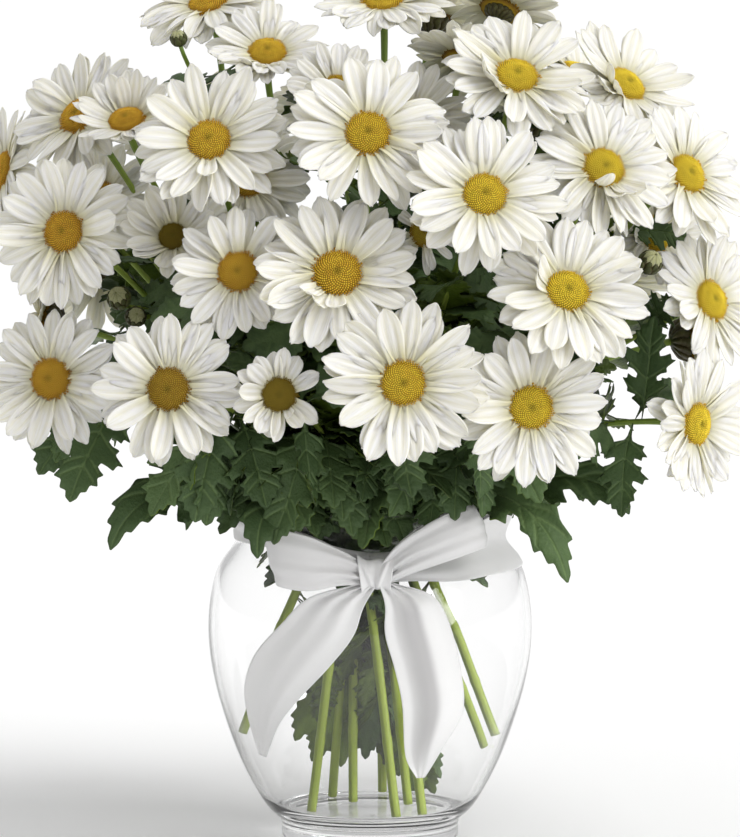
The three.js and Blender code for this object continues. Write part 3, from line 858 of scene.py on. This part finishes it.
def addLeaf(shape, root, arch, tip, half, rng, plan, droop=0.0, face=None, roll=leafCut["roll"], paleAndPaintedLight=0.0):
    # Lays the flat leaf along a curve from root to tip, folded at its midrib and rippled along its edge.
    steps = leafCut["steps"]
    line = spaced(bezier([root, arch, tip], 24), steps + 1)
    tangents = tangentsOf(line)
    flat = (tip - root).cross(up)
    side = flat.normalized() if flat.length > 1 else Vector((1, 0, 0))
    # Some leaves above the vase are paler in their own colour; the leaves in the vase are painted lighter as
    # painted light.
    shift, turn, own = rng.uniform(0, 50), rng.uniform(-roll, roll), rng.random() + paleAndPaintedLight
    length = sum((b - a).length for a, b in zip(line, line[1:]))
    points = []
    if face:
        lean = 1 if tangents[steps // 2].cross(face).dot(side) > 0 else -1
    for (x, y), vein in zip(plan[0], plan[2]):
        i = min(max(x, 0), 1) * steps
        low = min(int(i), steps - 1)
        middle = line[low].lerp(line[low + 1], i - low)
        way = tangents[low].lerp(tangents[low + 1], i - low).normalized()
        beside = (side - way * side.dot(way)).normalized()
        if face:
            turned = way.cross(face).normalized() * lean
            beside = beside.lerp(turned, 0.8 * smooth(0.0, 0.4, x)).normalized()
        front = beside.cross(way)
        beside = beside * cos(turn * x) + front * sin(turn * x)
        front = beside.cross(way)
        ripple = noise.noise(Vector((x * 3.2, y * 1.4, shift))) * leafCut["ripple"] * length
        ripple = ripple * smooth(0.1, 0.5, x) * (0.3 + abs(y))
        edge = sin(x * leafCut["edgeWaves"] + shift + (y > 0) * 2) * leafCut["edge"] * length * y * y
        lift = abs(y) * half * leafCut["fold"] - droop * y * y * half - vein * leafCut["grooveDepth"]
        points.append(middle + beside * (half * y * (1 - 0.1 * abs(y))) + front * (lift + ripple + edge))
    shape.add(points, plan[1], vein=plan[2], own=own)


def nearestOn(lines, point):
    return min((p for line in lines for p in line), key=lambda p: (p - point).length)


# The glass: a foot, a belly, a neck and a flared mouth with a fire-rounded rim, 3 mm thick. Its profile is in
# rows of a radius and a height.
vase = {
    "outside": [
        (41.4, 9), (50.5, 18.5), (62.5, 42), (72.6, 74), (75.6, 101), (71.8, 125.5), (62, 142), (66, 153.5),
        (72, 160),
    ],
    "foot": [
        (0.01, 0.9), (24, 0.9), (33, 0.7), (36, 0.1), (37, 0), (39.6, 0), (40.9, 0.5), (41.5, 1.8), (41.4, 5),
        (41.6, 7.6),
    ],
    "floor": [(47.4, 19.5), (45.2, 17.2), (42, 15.9), (38, 15.3), (33, 15.05), (0.01, 15.0)],
    "wall": 3, "wallFrom": 20, "thickUnder": 30, "thicker": 2.0, "around": 144,
}
glassLine = [Vector(row) for row in throughNumbers(vase["outside"], 8)]


def glassRadius(z):
    for a, b in zip(glassLine, glassLine[1:]):
        if z <= b.y:
            return a.x + (b.x - a.x) * min(max((z - a.y) / (b.y - a.y), 0), 1)
    return glassLine[-1].x


def insideRadius(z):
    return glassRadius(z) - vase["wall"] - (vase["thicker"] if z < vase["thickUnder"] else 0)


# Where leaves may be. The whole and the bow are boxes in x, y and z. Mouth, neck, shoulder and floor are
# heights, and bundle is how far leaves spread in the vase. A flower's face keeps room behind and before it, and
# out to a share of its petals' reach.
leafRoom = {
    "whole": ((-176, 170), (-158, 150), (-10, 392)), "bow": ((-66, 66), (-400, -60), (36, 171)),
    "mouth": 163, "neck": 118, "shoulder": 124, "floor": 20, "bundle": 34, "wallGap": 2.5,
    "behind": 7, "before": 28, "face": 0.96,
}


def inBox(p, box):
    return all(low < x < high for x, (low, high) in zip(p, box))


def inGlass(p, inVase):
    r, inside, gap = hypot(p.x, p.y), insideRadius(p.z), leafRoom["wallGap"]
    if inVase:
        spread = p.z < leafRoom["shoulder"] and abs(p.x) > leafRoom["bundle"]
        return r > inside - gap or p.z < leafRoom["floor"] or spread
    if p.z < leafRoom["mouth"] and inside - 2 < r < glassRadius(p.z) + gap:
        return True
    return p.z < leafRoom["neck"] and r < glassRadius(p.z)


def coversFace(p, head):
    offset = p - head.centre
    height = offset.dot(head.axis)
    near = -leafRoom["behind"] < height < leafRoom["before"]
    return near and (offset - head.axis * height).length < head.reach * leafRoom["face"]


def leafProbe(root, arch, tip, half):
    # A few points along both edges of a leaf.
    side = (tip - root).cross(up).normalized()
    middles = zip(bezier([root, arch, tip], len(leafCut["probe"]))[1:], leafCut["probe"])
    return [p + side * (half * wide * k) for p, wide in middles for k in (1, -1)]


def clashes(points, inVase):
    # Whether a leaf would stand in the glass, in the bow, in front of a flower's face or outside the part.
    for p in points:
        if inGlass(p, inVase) or not inBox(p, leafRoom["whole"]) or not inVase and inBox(p, leafRoom["bow"]):
            return True
        if any(coversFace(p, head) for head in heads + deepHeads):
            return True
    return False


# The six large leaves: the stem that each grows on, how far up, the point that pulls its arch, its tip and its
# half width.
largeLeaves = [
    (3, 0.77, (-100, -70, 190), (-116, -84, 146), 20), (2, 0.76, (-52, -88, 184), (-50, -96, 144), 19),
    (5, 0.78, (74, -83, 190), (88, -100, 134), 18.5), (6, 0.78, (102, -54, 192), (117, -66, 160), 18),
    (7, 0.76, (84, 60, 190), (104, 82, 148), 20), (9, 0.76, (-60, 76, 186), (-78, 98, 144), 20),
]
for n, (stem, at, arch, tip, half) in enumerate(largeLeaves):
    root, way = pointAt(stemLines[stem], at)
    arch, tip = Vector(arch), Vector(tip)
    out = arch - root
    root = root + (out - way * out.dot(way)).normalized() * (stemCut["radius"] * 0.6)
    shape = Shape()
    face = Vector((0.0, -1, 0.25)) if tip.y < 0 else None
    addLeaf(shape, root, arch, tip, half, random.Random(seeds["largeLeaf"] + n), finePlan,
            droop=0.12, face=face)
    node = f"leaf_{n + 1}"
    shape.piece(node + "_blade", [leafTop, leafUnder], "leaf", [node], leafCut["thickness"])

# Leaves at places that show in the photo: the foot of the blade, its tip and its half width.
shownLeaves = [
    ((-108, -70, 197), (-150, -62, 178), 17), ((-98, -80, 190), (-134, -84, 168), 15),
    ((-40, -84, 184), (-43, -92, 150), 16), ((-18, -96, 196), (-24, -99, 168), 17),
    ((118, -66, 200), (113, -74, 160), 15), ((122, -38, 276), (146, -30, 282), 12),
    ((98, -40, 280), (105, -42, 300), 12), ((124, -54, 224), (128, -62, 250), 13),
    ((106, -52, 192), (108, -64, 216), 14), ((132, -34, 232), (140, -42, 254), 12),
    ((-118, -60, 198), (-142, -66, 184), 15), ((6, -92, 190), (18, -101, 172), 17),
    ((60, -86, 192), (48, -96, 171), 16), ((-70, -84, 196), (-78, -92, 160), 17),
    ((-36, -50, 306), (-30, -70, 320), 12), ((34, -54, 246), (44, -72, 260), 13),
    ((52, -80, 232), (24, -98, 242), 14), ((-4, -84, 204), (-2, -104, 200), 15),
    ((-82, -78, 186), (-98, -86, 162), 14), ((-64, -76, 190), (-73, -88, 158), 17),
    ((-66, -72, 196), (-46, -90, 166), 18), ((-44, -66, 186), (-30, -86, 166), 15),
    ((-30, -62, 180), (-38, -82, 152), 14), ((-20, -62, 178), (-8, -82, 152), 14),
    ((-12, -66, 192), (-16, -90, 166), 16), ((-2, -66, 194), (16, -92, 174), 17),
    ((14, -64, 186), (36, -88, 170), 16), ((40, -66, 194), (50, -90, 162), 17),
    ((36, -60, 182), (8, -86, 162), 17), ((20, -60, 180), (26, -82, 154), 14),
    ((0, -56, 172), (-3, -78, 146), 14), ((-34, -62, 184), (-12, -86, 160), 14),
    ((60, -64, 190), (38, -86, 160), 15), ((-54, -62, 184), (-54, -82, 156), 14),
    ((66, -66, 190), (76, -88, 168), 16), ((-10, -52, 170), (-24, -72, 149), 13),
    ((12, -52, 172), (16, -72, 148), 13), ((30, -56, 176), (44, -80, 158), 14),
    ((-2, -50, 172), (8, -72, 146), 12), ((-34, -56, 178), (-24, -78, 152), 13),
    ((-70, -66, 188), (-62, -84, 162), 15), ((4, -60, 186), (-4, -84, 168), 14),
]
# Leaves in the vase: where each starts, its tip and its half width.
sunkLeaves = [
    ((-6, 12, 100), (-36, 16, 42), 14), ((-2, 14, 90), (-14, 24, 28), 14), ((4, 16, 95), (8, 22, 30), 14),
    ((6, 10, 80), (26, 20, 34), 13), ((-8, 8, 112), (-26, 14, 66), 15), ((0, 10, 112), (4, 16, 62), 15),
    ((8, 10, 108), (25, 14, 62), 14), ((-6, 10, 84), (-28, 18, 32), 13), ((4, 10, 76), (34, 16, 24), 12),
    ((0, 14, 70), (14, 22, 24), 12), ((-4, 14, 118), (-12, 24, 76), 15), ((2, 14, 118), (14, 24, 74), 15),
    ((0, 4, 124), (-8, 10, 84), 14), ((4, 2, 122), (7, 8, 84), 13), ((-4, 6, 96), (-20, 12, 46), 14),
    ((2, 8, 92), (-2, 14, 34), 14), ((10, 8, 60), (31, 10, 18), 12), ((12, 4, 56), (24, 6, 18), 11),
]
leafGroups = [Shape() for _ in stems]


def seatOf(foot, linesOf):
    # The stem with the line that passes nearest to a leaf's foot, and the point where it does.
    near = min(range(len(stems)), key=lambda k: (nearestOn(linesOf(k), foot) - foot).length)
    return leafGroups[near], nearestOn(linesOf(near), foot)


for n, (foot, tip, half) in enumerate(shownLeaves):
    rng = random.Random(seeds["shownLeaf"] + n)
    foot, tip = Vector(foot), Vector(tip)
    shape, root = seatOf(foot, lambda k: [stemLines[k][stemCut["upper"]], *shootLines[k]])
    arch = root.lerp(tip, 0.5) + Vector((rng.uniform(-0.1, 0.1), 0, 0.22)) * (tip - root).length
    half = max(half, 0.33 * (tip - root).length)
    face = Vector((rng.uniform(-0.9, 0.9), -1, rng.uniform(-0.2, 0.9)))
    addLeaf(shape, root, arch, tip, half, rng, finePlan, face=face, roll=0.9, paleAndPaintedLight=0.7 * (n % 4 == 2))

for n, (foot, tip, half) in enumerate(sunkLeaves):
    foot, tip = Vector(foot), Vector(tip)
    shape, root = seatOf(foot, lambda k: [stemLines[k][stemCut["sunk"]]])
    rng, arch, face = random.Random(seeds["sunkLeaf"] + n), foot.lerp(tip, 0.3), Vector((0, -1, 0.1))
    # Leaves in the vase are painted lighter, as painted light.
    addLeaf(shape, root, arch, tip, half, rng, coarsePlan, face=face, paleAndPaintedLight=0.35)

# Leaves all over: low ones that spread over the mouth, small ones on the shoots, ones that back the flowers,
# some in the neck and some under it. Each kind has its number and the ranges of its random draws.
foliage = {
    "low": {"count": 22, "along": (0.68, 1.0), "length": (36, 66), "fall": (-0.75, 0.25), "roll": 1.0},
    "shoot": {
        "count": 12, "onShoots": True, "perShoot": True, "along": (0.1, 0.82), "length": (30, 54),
        "fall": (-0.3, 0.9), "roll": 1.0,
    },
    "backing": {
        "count": 12, "onShoots": True, "along": (0.35, 0.95), "rise": (-0.6, 0.9), "length": (34, 50),
        "half": 0.38,
    },
    "neck": {
        "count": 4, "along": (0.56, 0.74), "length": (24, 40), "turn": (0, 2 * pi), "rise": (-0.6, 1.4),
        "half": 0.33, "outward": 0, "upward": 0.1, "front": -100, "top": 162, "roll": 1.0,
    },
    "under": {
        "count": 4, "along": (0.28, 0.62), "length": (30, 50), "turn": (0.1, pi - 0.1), "rise": (-2.2, -0.8),
        "half": 0.27, "outward": 0.12, "upward": 0, "front": -22, "top": 162,
    },
}
foliageTries = 40


def rootOf(k, rng, kind):
    line = rng.choice(shootLines[k]) if kind.get("onShoots") else stemLines[k]
    return pointAt(line, rng.uniform(*kind["along"]))[0]


def spreadLeaf(k, rng, kind):
    # Root, arch, tip, half width and face of a leaf that grows outwards.
    root = rootOf(k, rng, kind)
    length, fall, turn = rng.uniform(*kind["length"]), rng.uniform(*kind["fall"]), rng.uniform(0, 2 * pi)
    forkX, forkY, _ = stems[k]["fork"]
    level = polar(1, turn, 0) + Vector((forkX, forkY + 20, 0)).normalized() * 0.6
    tip = root + (level.normalized() + up * fall).normalized() * length
    arch = root.lerp(tip, 0.5) + up * (length * rng.uniform(0.12, 0.3))
    return root, arch, tip, length * rng.uniform(0.27, 0.36), None


def backingLeaf(k, rng, kind):
    # The same for a leaf that turns its face outwards. There is none where it would point that way.
    root = rootOf(k, rng, kind)
    way = polar(1, rng.uniform(0, 2 * pi), rng.uniform(*kind["rise"])).normalized()
    length = rng.uniform(*kind["length"])
    tip = root + way * length
    face = Vector((tip.x, tip.y, 0.5 * (tip.z - 190))).normalized()
    if abs(way.dot(face)) > 0.65:
        return None
    return root, root.lerp(tip, 0.5) + face * (length * 0.08), tip, length * kind["half"], face


def innerLeaf(k, rng, kind):
    # The same for a leaf inside the vase. There is none close behind the bow.
    root = rootOf(k, rng, kind)
    if root.y < kind["front"]:
        return None
    length, turn = rng.uniform(*kind["length"]), rng.uniform(*kind["turn"])
    way = polar(1, turn, rng.uniform(*kind["rise"])).normalized()
    tip = root + way * length
    pull = Vector((way.x, way.y, 0)) * (length * kind["outward"]) + up * (length * kind["upward"])
    return root, root.lerp(tip, 0.5) + pull, tip, length * kind["half"], None


def growLeaves(k, rng, kind, draw):
    # Draws places for each leaf until one is free.
    grown = 0
    for _ in range(kind["count"] * (len(shootLines[k]) if kind.get("perShoot") else 1)):
        for _ in range(foliageTries):
            drawn = draw(k, rng, kind)
            if not drawn:
                continue
            *blade, face = drawn
            probe = leafProbe(*blade)
            # Only the leaves inside the vase have a top.
            if max(p.z for p in probe) < kind.get("top", 400) and not clashes(probe, "top" in kind):
                roll = kind.get("roll", leafCut["roll"])
                addLeaf(leafGroups[k], *blade, rng, coarsePlan, droop=0.1, face=face, roll=roll)
                grown += 1
                break
    return grown


placed = len(largeLeaves) + len(shownLeaves) + len(sunkLeaves)
draws = (spreadLeaf, spreadLeaf, backingLeaf, innerLeaf, innerLeaf)
for k in range(len(stems)):
    rng = random.Random(seeds["foliage"] + k)
    placed += sum(growLeaves(k, rng, kind, draw) for kind, draw in zip(foliage.values(), draws))
for k, shape in enumerate(leafGroups):
    name = f"leaves_on_{stemNode(k)}"
    shape.piece(name, [leafTop, leafUnder], "leaf", [stemNode(k)], leafCut["thickness"])
print("leaves made:", placed)


# Buds on short stalks, with two rows of bracts round folded petals: the stem, the bud's place, its bearing, its
# rise and its radius.
buds = [
    (3, (-86, -50, 374), -20, 60, 3.2), (6, (125, -75, 275), 30, 40, 4.8),
    (3, (-112, -75, 259), -15, 30, 4.6), (3, (-105, -68, 250), 10, 20, 4.0), (5, (91, -85, 306), 20, 40, 5.2),
]
budCut = {
    "stalkRadius": 1.0, "stalkSteps": 12, "stalkPull": 6, "stalkReach": 30,
    "steps": 7, "across": (-1, -0.5, 0, 0.5, 1), "bractThickness": 0.35, "petalThickness": 0.3,
    # Rows of blades: what they are, how many, from and to which height, and how far the row swells.
    "rows": [
        ("bracts", 9, -1.0, 0.75, 1.06), ("bracts", 8, -1.0, 0.35, 1.14), ("petals", 9, -0.4, 1.15, 1.0),
    ],
}


def makeBud(bud, rng):
    # Bracts and petals in rows of blades that lie on the bud's round outline.
    radius, across = bud.reach, budCut["across"]
    shapes = {"bracts": Shape(), "petals": Shape()}
    dome = []
    for a in range(-6, 7):
        r, h = max(0.01, radius * 0.9 * cos(a * pi / 12)), radius * 0.98 * sin(a * pi / 12)
        dome.append([bud.at(turn, r, h) for turn in turns(16)])
    shapes["petals"].addTube(dome, False, along=0.15, across=0.0, own=0.5)
    for kind, count, low, high, swell in budCut["rows"]:
        for middle in turns(count, rng.uniform(0, 6)):
            rows, along = [], []
            for a in range(budCut["steps"] + 1):
                t = a / budCut["steps"]
                height = (low + (high - low) * t) * radius
                angle = min(max(height / radius, -1), 1.15)
                reach = radius * swell * sqrt(max(0.006, 1 - (angle * 0.869) ** 2)) + 0.12 * (a % 2)
                half = 1.25 * pi / count * sqrt(max(0.03, 1 - (1.9 * t - 0.9) ** 2))
                rows.append([bud.at(middle + half * s, reach * (1 - 0.07 * s * s), height) for s in across])
                along.extend([t] * len(across))
            sides = across * len(rows)
            if kind == "bracts":
                values = {"vein": [abs(s) ** 4 for s in sides]}
            else:
                values = {"along": along, "across": sides}
            shapes[kind].addGrid(rows, own=rng.random(), **values)
    return shapes


for n, (k, place, bearing, rise, radius) in enumerate(buds):
    bud, node = Head(place, bearing, rise, radius), stemNode(k)
    shoots = [spaced(line, 41)[4:30] for line in shootLines[k]]
    root = nearestOn(shoots, bud.centre - bud.axis * budCut["stalkReach"])
    foot, pull = bud.at(0, 0, -radius), bud.axis * budCut["stalkPull"]
    count = budCut["stalkSteps"] + 1
    line = spaced(bezier([root, root.lerp(foot, 0.5) - pull, foot - pull, foot], 16), count)
    stalk = Shape()
    sweep(stalk, line, [budCut["stalkRadius"]] * count, "bud")
    stalk.piece(f"bud_stalk_{n + 1}", [stemSkin], "stem", [node])
    shapes = makeBud(bud, random.Random(seeds["bud"] + n))
    shapes["bracts"].piece(f"bud_bracts_{n + 1}", [calyxSkin], "leaf", [node], budCut["bractThickness"])
    shapes["petals"].piece(f"bud_petals_{n + 1}", [budSkin], "petal", [node], budCut["petalThickness"])
print("buds made:", len(buds))


def makeVase():
    wall = vase["wall"]
    profile = [*vase["foot"], *[(p.x, p.y) for p in glassLine[1:]]]
    rim = glassLine[-1]
    for k in range(1, 8):
        turn = pi * k / 8
        profile.append((rim.x - wall / 2 * (1 - cos(turn)), rim.y + wall * 0.55 * sin(turn)))
    for a, b in zip(glassLine[:0:-1], glassLine[-2::-1]):
        if a.y > vase["wallFrom"]:
            away = Vector(((a - b).y, -(a - b).x)).normalized() * wall
            profile.append((a.x - away.x, a.y - away.y))
    profile += vase["floor"]
    shape = Shape()
    shape.addTube([[polar(r, turn, z) for turn in turns(vase["around"])] for r, z in profile], False)
    shape.piece("glass_vase", [clearGlass], "glass", ["vase"])


makeVase()
print("vase made")


# The ribbon is one strip of satin, made in six pieces: a turn round the neck, two loops, two tails and the
# knot. A loop's rows give its middle line and its half width. A tail's rows give x and z of its two edges and
# how far it stands off the glass.
ribbon = {
    "thickness": 0.35, "stand": 0.5, "band": (129.5, 157.5), "bandRise": 12.5,
    "knot": {"x": 2.7, "z": 134.8, "halfWide": 7.8, "halfHigh": 8.4, "y": -76.4},
    "leftLoop": [
        (-1, -78, 134, 4), (-14, -82, 138, 8), (-27, -84, 140, 12), (-39, -82, 142.5, 13),
        (-43.5, -77.5, 143.5, 13), (-39, -73.5, 143, 12.5), (-27, -73, 140, 11), (-14, -74, 137, 8),
        (-1, -76, 134, 4)],
    "rightLoop": [
        (6, -78, 134, 4), (17, -82, 143, 7.5), (30, -84, 150, 9.5), (43, -82, 155.5, 10.5),
        (49, -77.5, 157, 10), (43, -73.5, 155.5, 10), (30, -73, 150, 9), (17, -74, 143, 7), (6, -76, 134, 4)],
    "leftTail": [
        (-4, 131, 2, 129, 8), (-27, 124, -3, 120, 6.5), (-40, 111, -7.5, 107, 4), (-52, 96, -18, 93, 3),
        (-57, 81, -31, 78, 3), (-56, 66, -41, 64, 3), (-51, 47, -47.5, 46, 3)],
    "rightTail": [
        (4, 131, 10, 131, 8), (6.7, 121, 28, 125, 7), (6.7, 108, 36, 111, 4.5), (11, 92, 41, 90, 3.2),
        (14.5, 75, 42, 71, 4), (16, 51, 33, 54, 6), (21, 40, 25, 40, 8)],
    "leftLean": 0.25, "rightLean": 0.35,
    # Each fold: its foot, its ridge, its depth and the strength of its painted shade.
    "leftFold": (0.05, 0.62, 2.0, 0.12), "rightFold": (0.14, 0.6, 6.5, 1.25),
    # Steps along and across: from row to row of the tables above for the loops and the tails.
    "bandSteps": (180, 24), "loopSteps": (12, 32), "tailSteps": (10, 36), "knotSteps": (60, 32),
}


def makeStrip(name, node, rows, hollow=0.0, offset=0):
    count = len(rows[0]) - 1
    along = [i / (len(rows) - 1) for i, row in enumerate(rows) for _ in row]
    across = [2 * j / count - 1 for row in rows for j in range(count + 1)]
    shape = Shape()
    shape.addGrid(rows, along=along, across=across, hollow=hollow)
    return shape.piece(name, [satin], "satin", [node], ribbon["thickness"], offset)


def makeBand():
    # The turn round the neck. Its two ends meet behind the knot.
    low, high = ribbon["band"]
    rows = []
    length, width = ribbon["bandSteps"]
    for i in range(length + 1):
        turn = 2 * pi * i / length - pi / 2
        wide = smooth(0.3, 1.05, abs((turn + pi / 2 + pi) % (2 * pi) - pi))
        rise = ribbon["bandRise"] * smooth(-0.1, 0.6, -cos(turn)) * smooth(1.0, 0.3, sin(turn))
        sag = 1.2 * noise.noise(Vector((2 * cos(turn), 2 * sin(turn), 7.0)))
        row = []
        for j in range(width + 1):
            s = j / width
            fold = noise.noise(Vector((3 * cos(turn), 3 * sin(turn), s * 3.4)))
            z = low + rise + (high - low - rise) * s * (0.45 + 0.55 * wide) + sag
            pleat = (0.4 + 0.5 * (1 - wide)) * sin(s * 13 + 2 * turn)
            row.append(polar(glassRadius(z) + ribbon["stand"] + 0.6 + 0.75 * fold + pleat, turn, z))
        rows.append(row)
    return makeStrip("ribbon_turn", "ribbon_band", rows, offset=1)


def makeLoop(name, table, leaning):
    rows = []
    length, width = ribbon["loopSteps"]
    steps = throughNumbers(table, length)
    middle = [Vector(row[:3]) for row in steps]
    for i, (row, way) in enumerate(zip(steps, tangentsOf(middle))):
        t = i / (len(steps) - 1)
        spread = sin(pi * t)
        tilt = Vector((-leaning * spread, 0, 1))
        tall = (tilt - way * tilt.dot(way)).normalized()
        front = way.cross(tall).normalized()
        pleat = 1.7 * (1 - spread) ** 1.2 + 0.35
        points = []
        for j in range(width + 1):
            s = 2 * j / width - 1
            wave = sin(s * 8.2 + 0.6) + 0.5 * sin(s * 13 + 2 + 3 * t)
            crown = 2.4 * spread * (1 - s * s) * (1 if front.y < 0 else -1)
            points.append(middle[i] + tall * (row[3] * s) + front * (pleat * wave * 0.62 + crown))
        rows.append(points)
    # The loops are painted in half-strength painted shade all over.
    return makeStrip(name, "ribbon_bow", rows, 0.5)


def makeTail(name, table, fold):
    # A fold runs down a tail from its foot to its ridge, with its depth and the painted shade in the fold
    # before its ridge.
    foot, ridge, depth, shade = fold
    rows, hollow = [], []
    length, width = ribbon["tailSteps"]
    steps = throughNumbers(table, length)
    for i, (x0, z0, x1, z1, off) in enumerate(steps):
        t = i / (len(steps) - 1)
        pleat = 2.4 * exp(-t / 0.16) + 0.25
        lasts = smooth(0.02, 0.25, t) * smooth(1.02, 0.7, t)
        points = []
        for j in range(width + 1):
            s = j / width
            x, z = x0 + (x1 - x0) * s, z0 + (z1 - z0) * s
            rising = smooth(foot, ridge, s) if s < ridge else 1 - 0.8 * smooth(ridge, 1.15, s)
            r = glassRadius(z) + off + pleat * sin(s * 19 + 1) * 0.7 + depth * rising * lasts
            dark = shade * smooth(foot - 0.05, ridge - 0.15, s) * smooth(ridge + 0.08, ridge - 0.06, s)
            hollow.append(dark * lasts)
            x = max(min(x, r - 1), 1 - r)
            points.append(Vector((x, -sqrt(r * r - x * x), z)))
        rows.append(points)
    return makeStrip(name, "ribbon_bow", rows, hollow)


def makeKnot():
    cut = ribbon["knot"]
    rows = []
    length, width = ribbon["knotSteps"]
    for i in range(length + 1):
        turn = 2 * pi * i / length + pi
        row = []
        for j in range(width + 1):
            s = 2 * j / width - 1
            waist = 0.76 + 0.30 * s * s + 0.06 * sin(5 * s + 1)
            wide = cut["halfWide"] * s * (0.94 + 0.16 * sin(turn))
            high = cut["halfHigh"] * waist * sin(turn)
            deep = 5.2 * waist * cos(turn)
            fan = 0.12 + 0.3 * (1 + sin(turn))
            crease = 1.5 * exp(-(((abs(s + 0.05) - fan) / 0.13) ** 2)) - 0.9 * exp(-(((s + 0.05) / 0.2) ** 2))
            crease *= max(cos(turn), 0)
            row.append(Vector((cut["x"] + wide, cut["y"] - deep - crease, cut["z"] + high + 0.6 * s)))
        rows.append(row)
    return makeStrip("ribbon_knot", "ribbon_bow", rows)


band = makeBand()
leftLoop = makeLoop("ribbon_left_loop", ribbon["leftLoop"], ribbon["leftLean"])
rightLoop = makeLoop("ribbon_right_loop", ribbon["rightLoop"], ribbon["rightLean"])
leftTail = makeTail("ribbon_left_tail", ribbon["leftTail"], ribbon["leftFold"])
rightTail = makeTail("ribbon_right_tail", ribbon["rightTail"], ribbon["rightFold"])
knot = makeKnot()
print("ribbon made")


studio = {
    "radius": 60, "lens": 184.95, "sensor": 36, "distance": 2.0, "rise": 6.0, "aim": (0, 0, 0.197),
    "high": ((1.05, -0.5, 1.95), 1.4, 40), "front": ((2.4, -1.6, 0.9), 1.25, 30), "sky": 0.59,
}


def makeFloor():
    mesh = bpy.data.meshes.new("studio_floor")
    mesh.from_pydata([polar(studio["radius"], turn, 0) for turn in turns(64)], [], [tuple(range(64))])
    mesh.materials.append(floorLook())
    linked("studio_floor", mesh)


def aim(made, place, way):
    made.location = place
    made.rotation_euler = way.to_track_quat("-Z", "Y").to_euler()


def makeSun(name, place, strength, angle):
    data = bpy.data.lights.new(name, "SUN")
    data.energy, data.angle = strength, radians(angle)
    aim(linked(name, data), place, -Vector(place))


def makeCamera():
    data = bpy.data.cameras.new("camera")
    data.sensor_fit, data.sensor_height, data.sensor_width = "VERTICAL", studio["sensor"], studio["sensor"]
    data.lens = studio["lens"]
    made = linked("camera", data)
    rise, target = radians(studio["rise"]), Vector(studio["aim"])
    place = target + Vector((0, -cos(rise), sin(rise))) * studio["distance"]
    aim(made, place, target - place)
    bpy.context.scene.camera = made


makeFloor()
makeSun("high", *studio["high"])
makeSun("front", *studio["front"])
makeCamera()
world = bpy.data.worlds.new("studio")
world.use_nodes = True
sky = world.node_tree.nodes["Background"].inputs
sky["Color"].default_value, sky["Strength"].default_value = (1, 1, 1, 1), studio["sky"]
bpy.context.scene.world = world
bpy.context.scene.view_settings.view_transform = "Standard"
print("studio made")
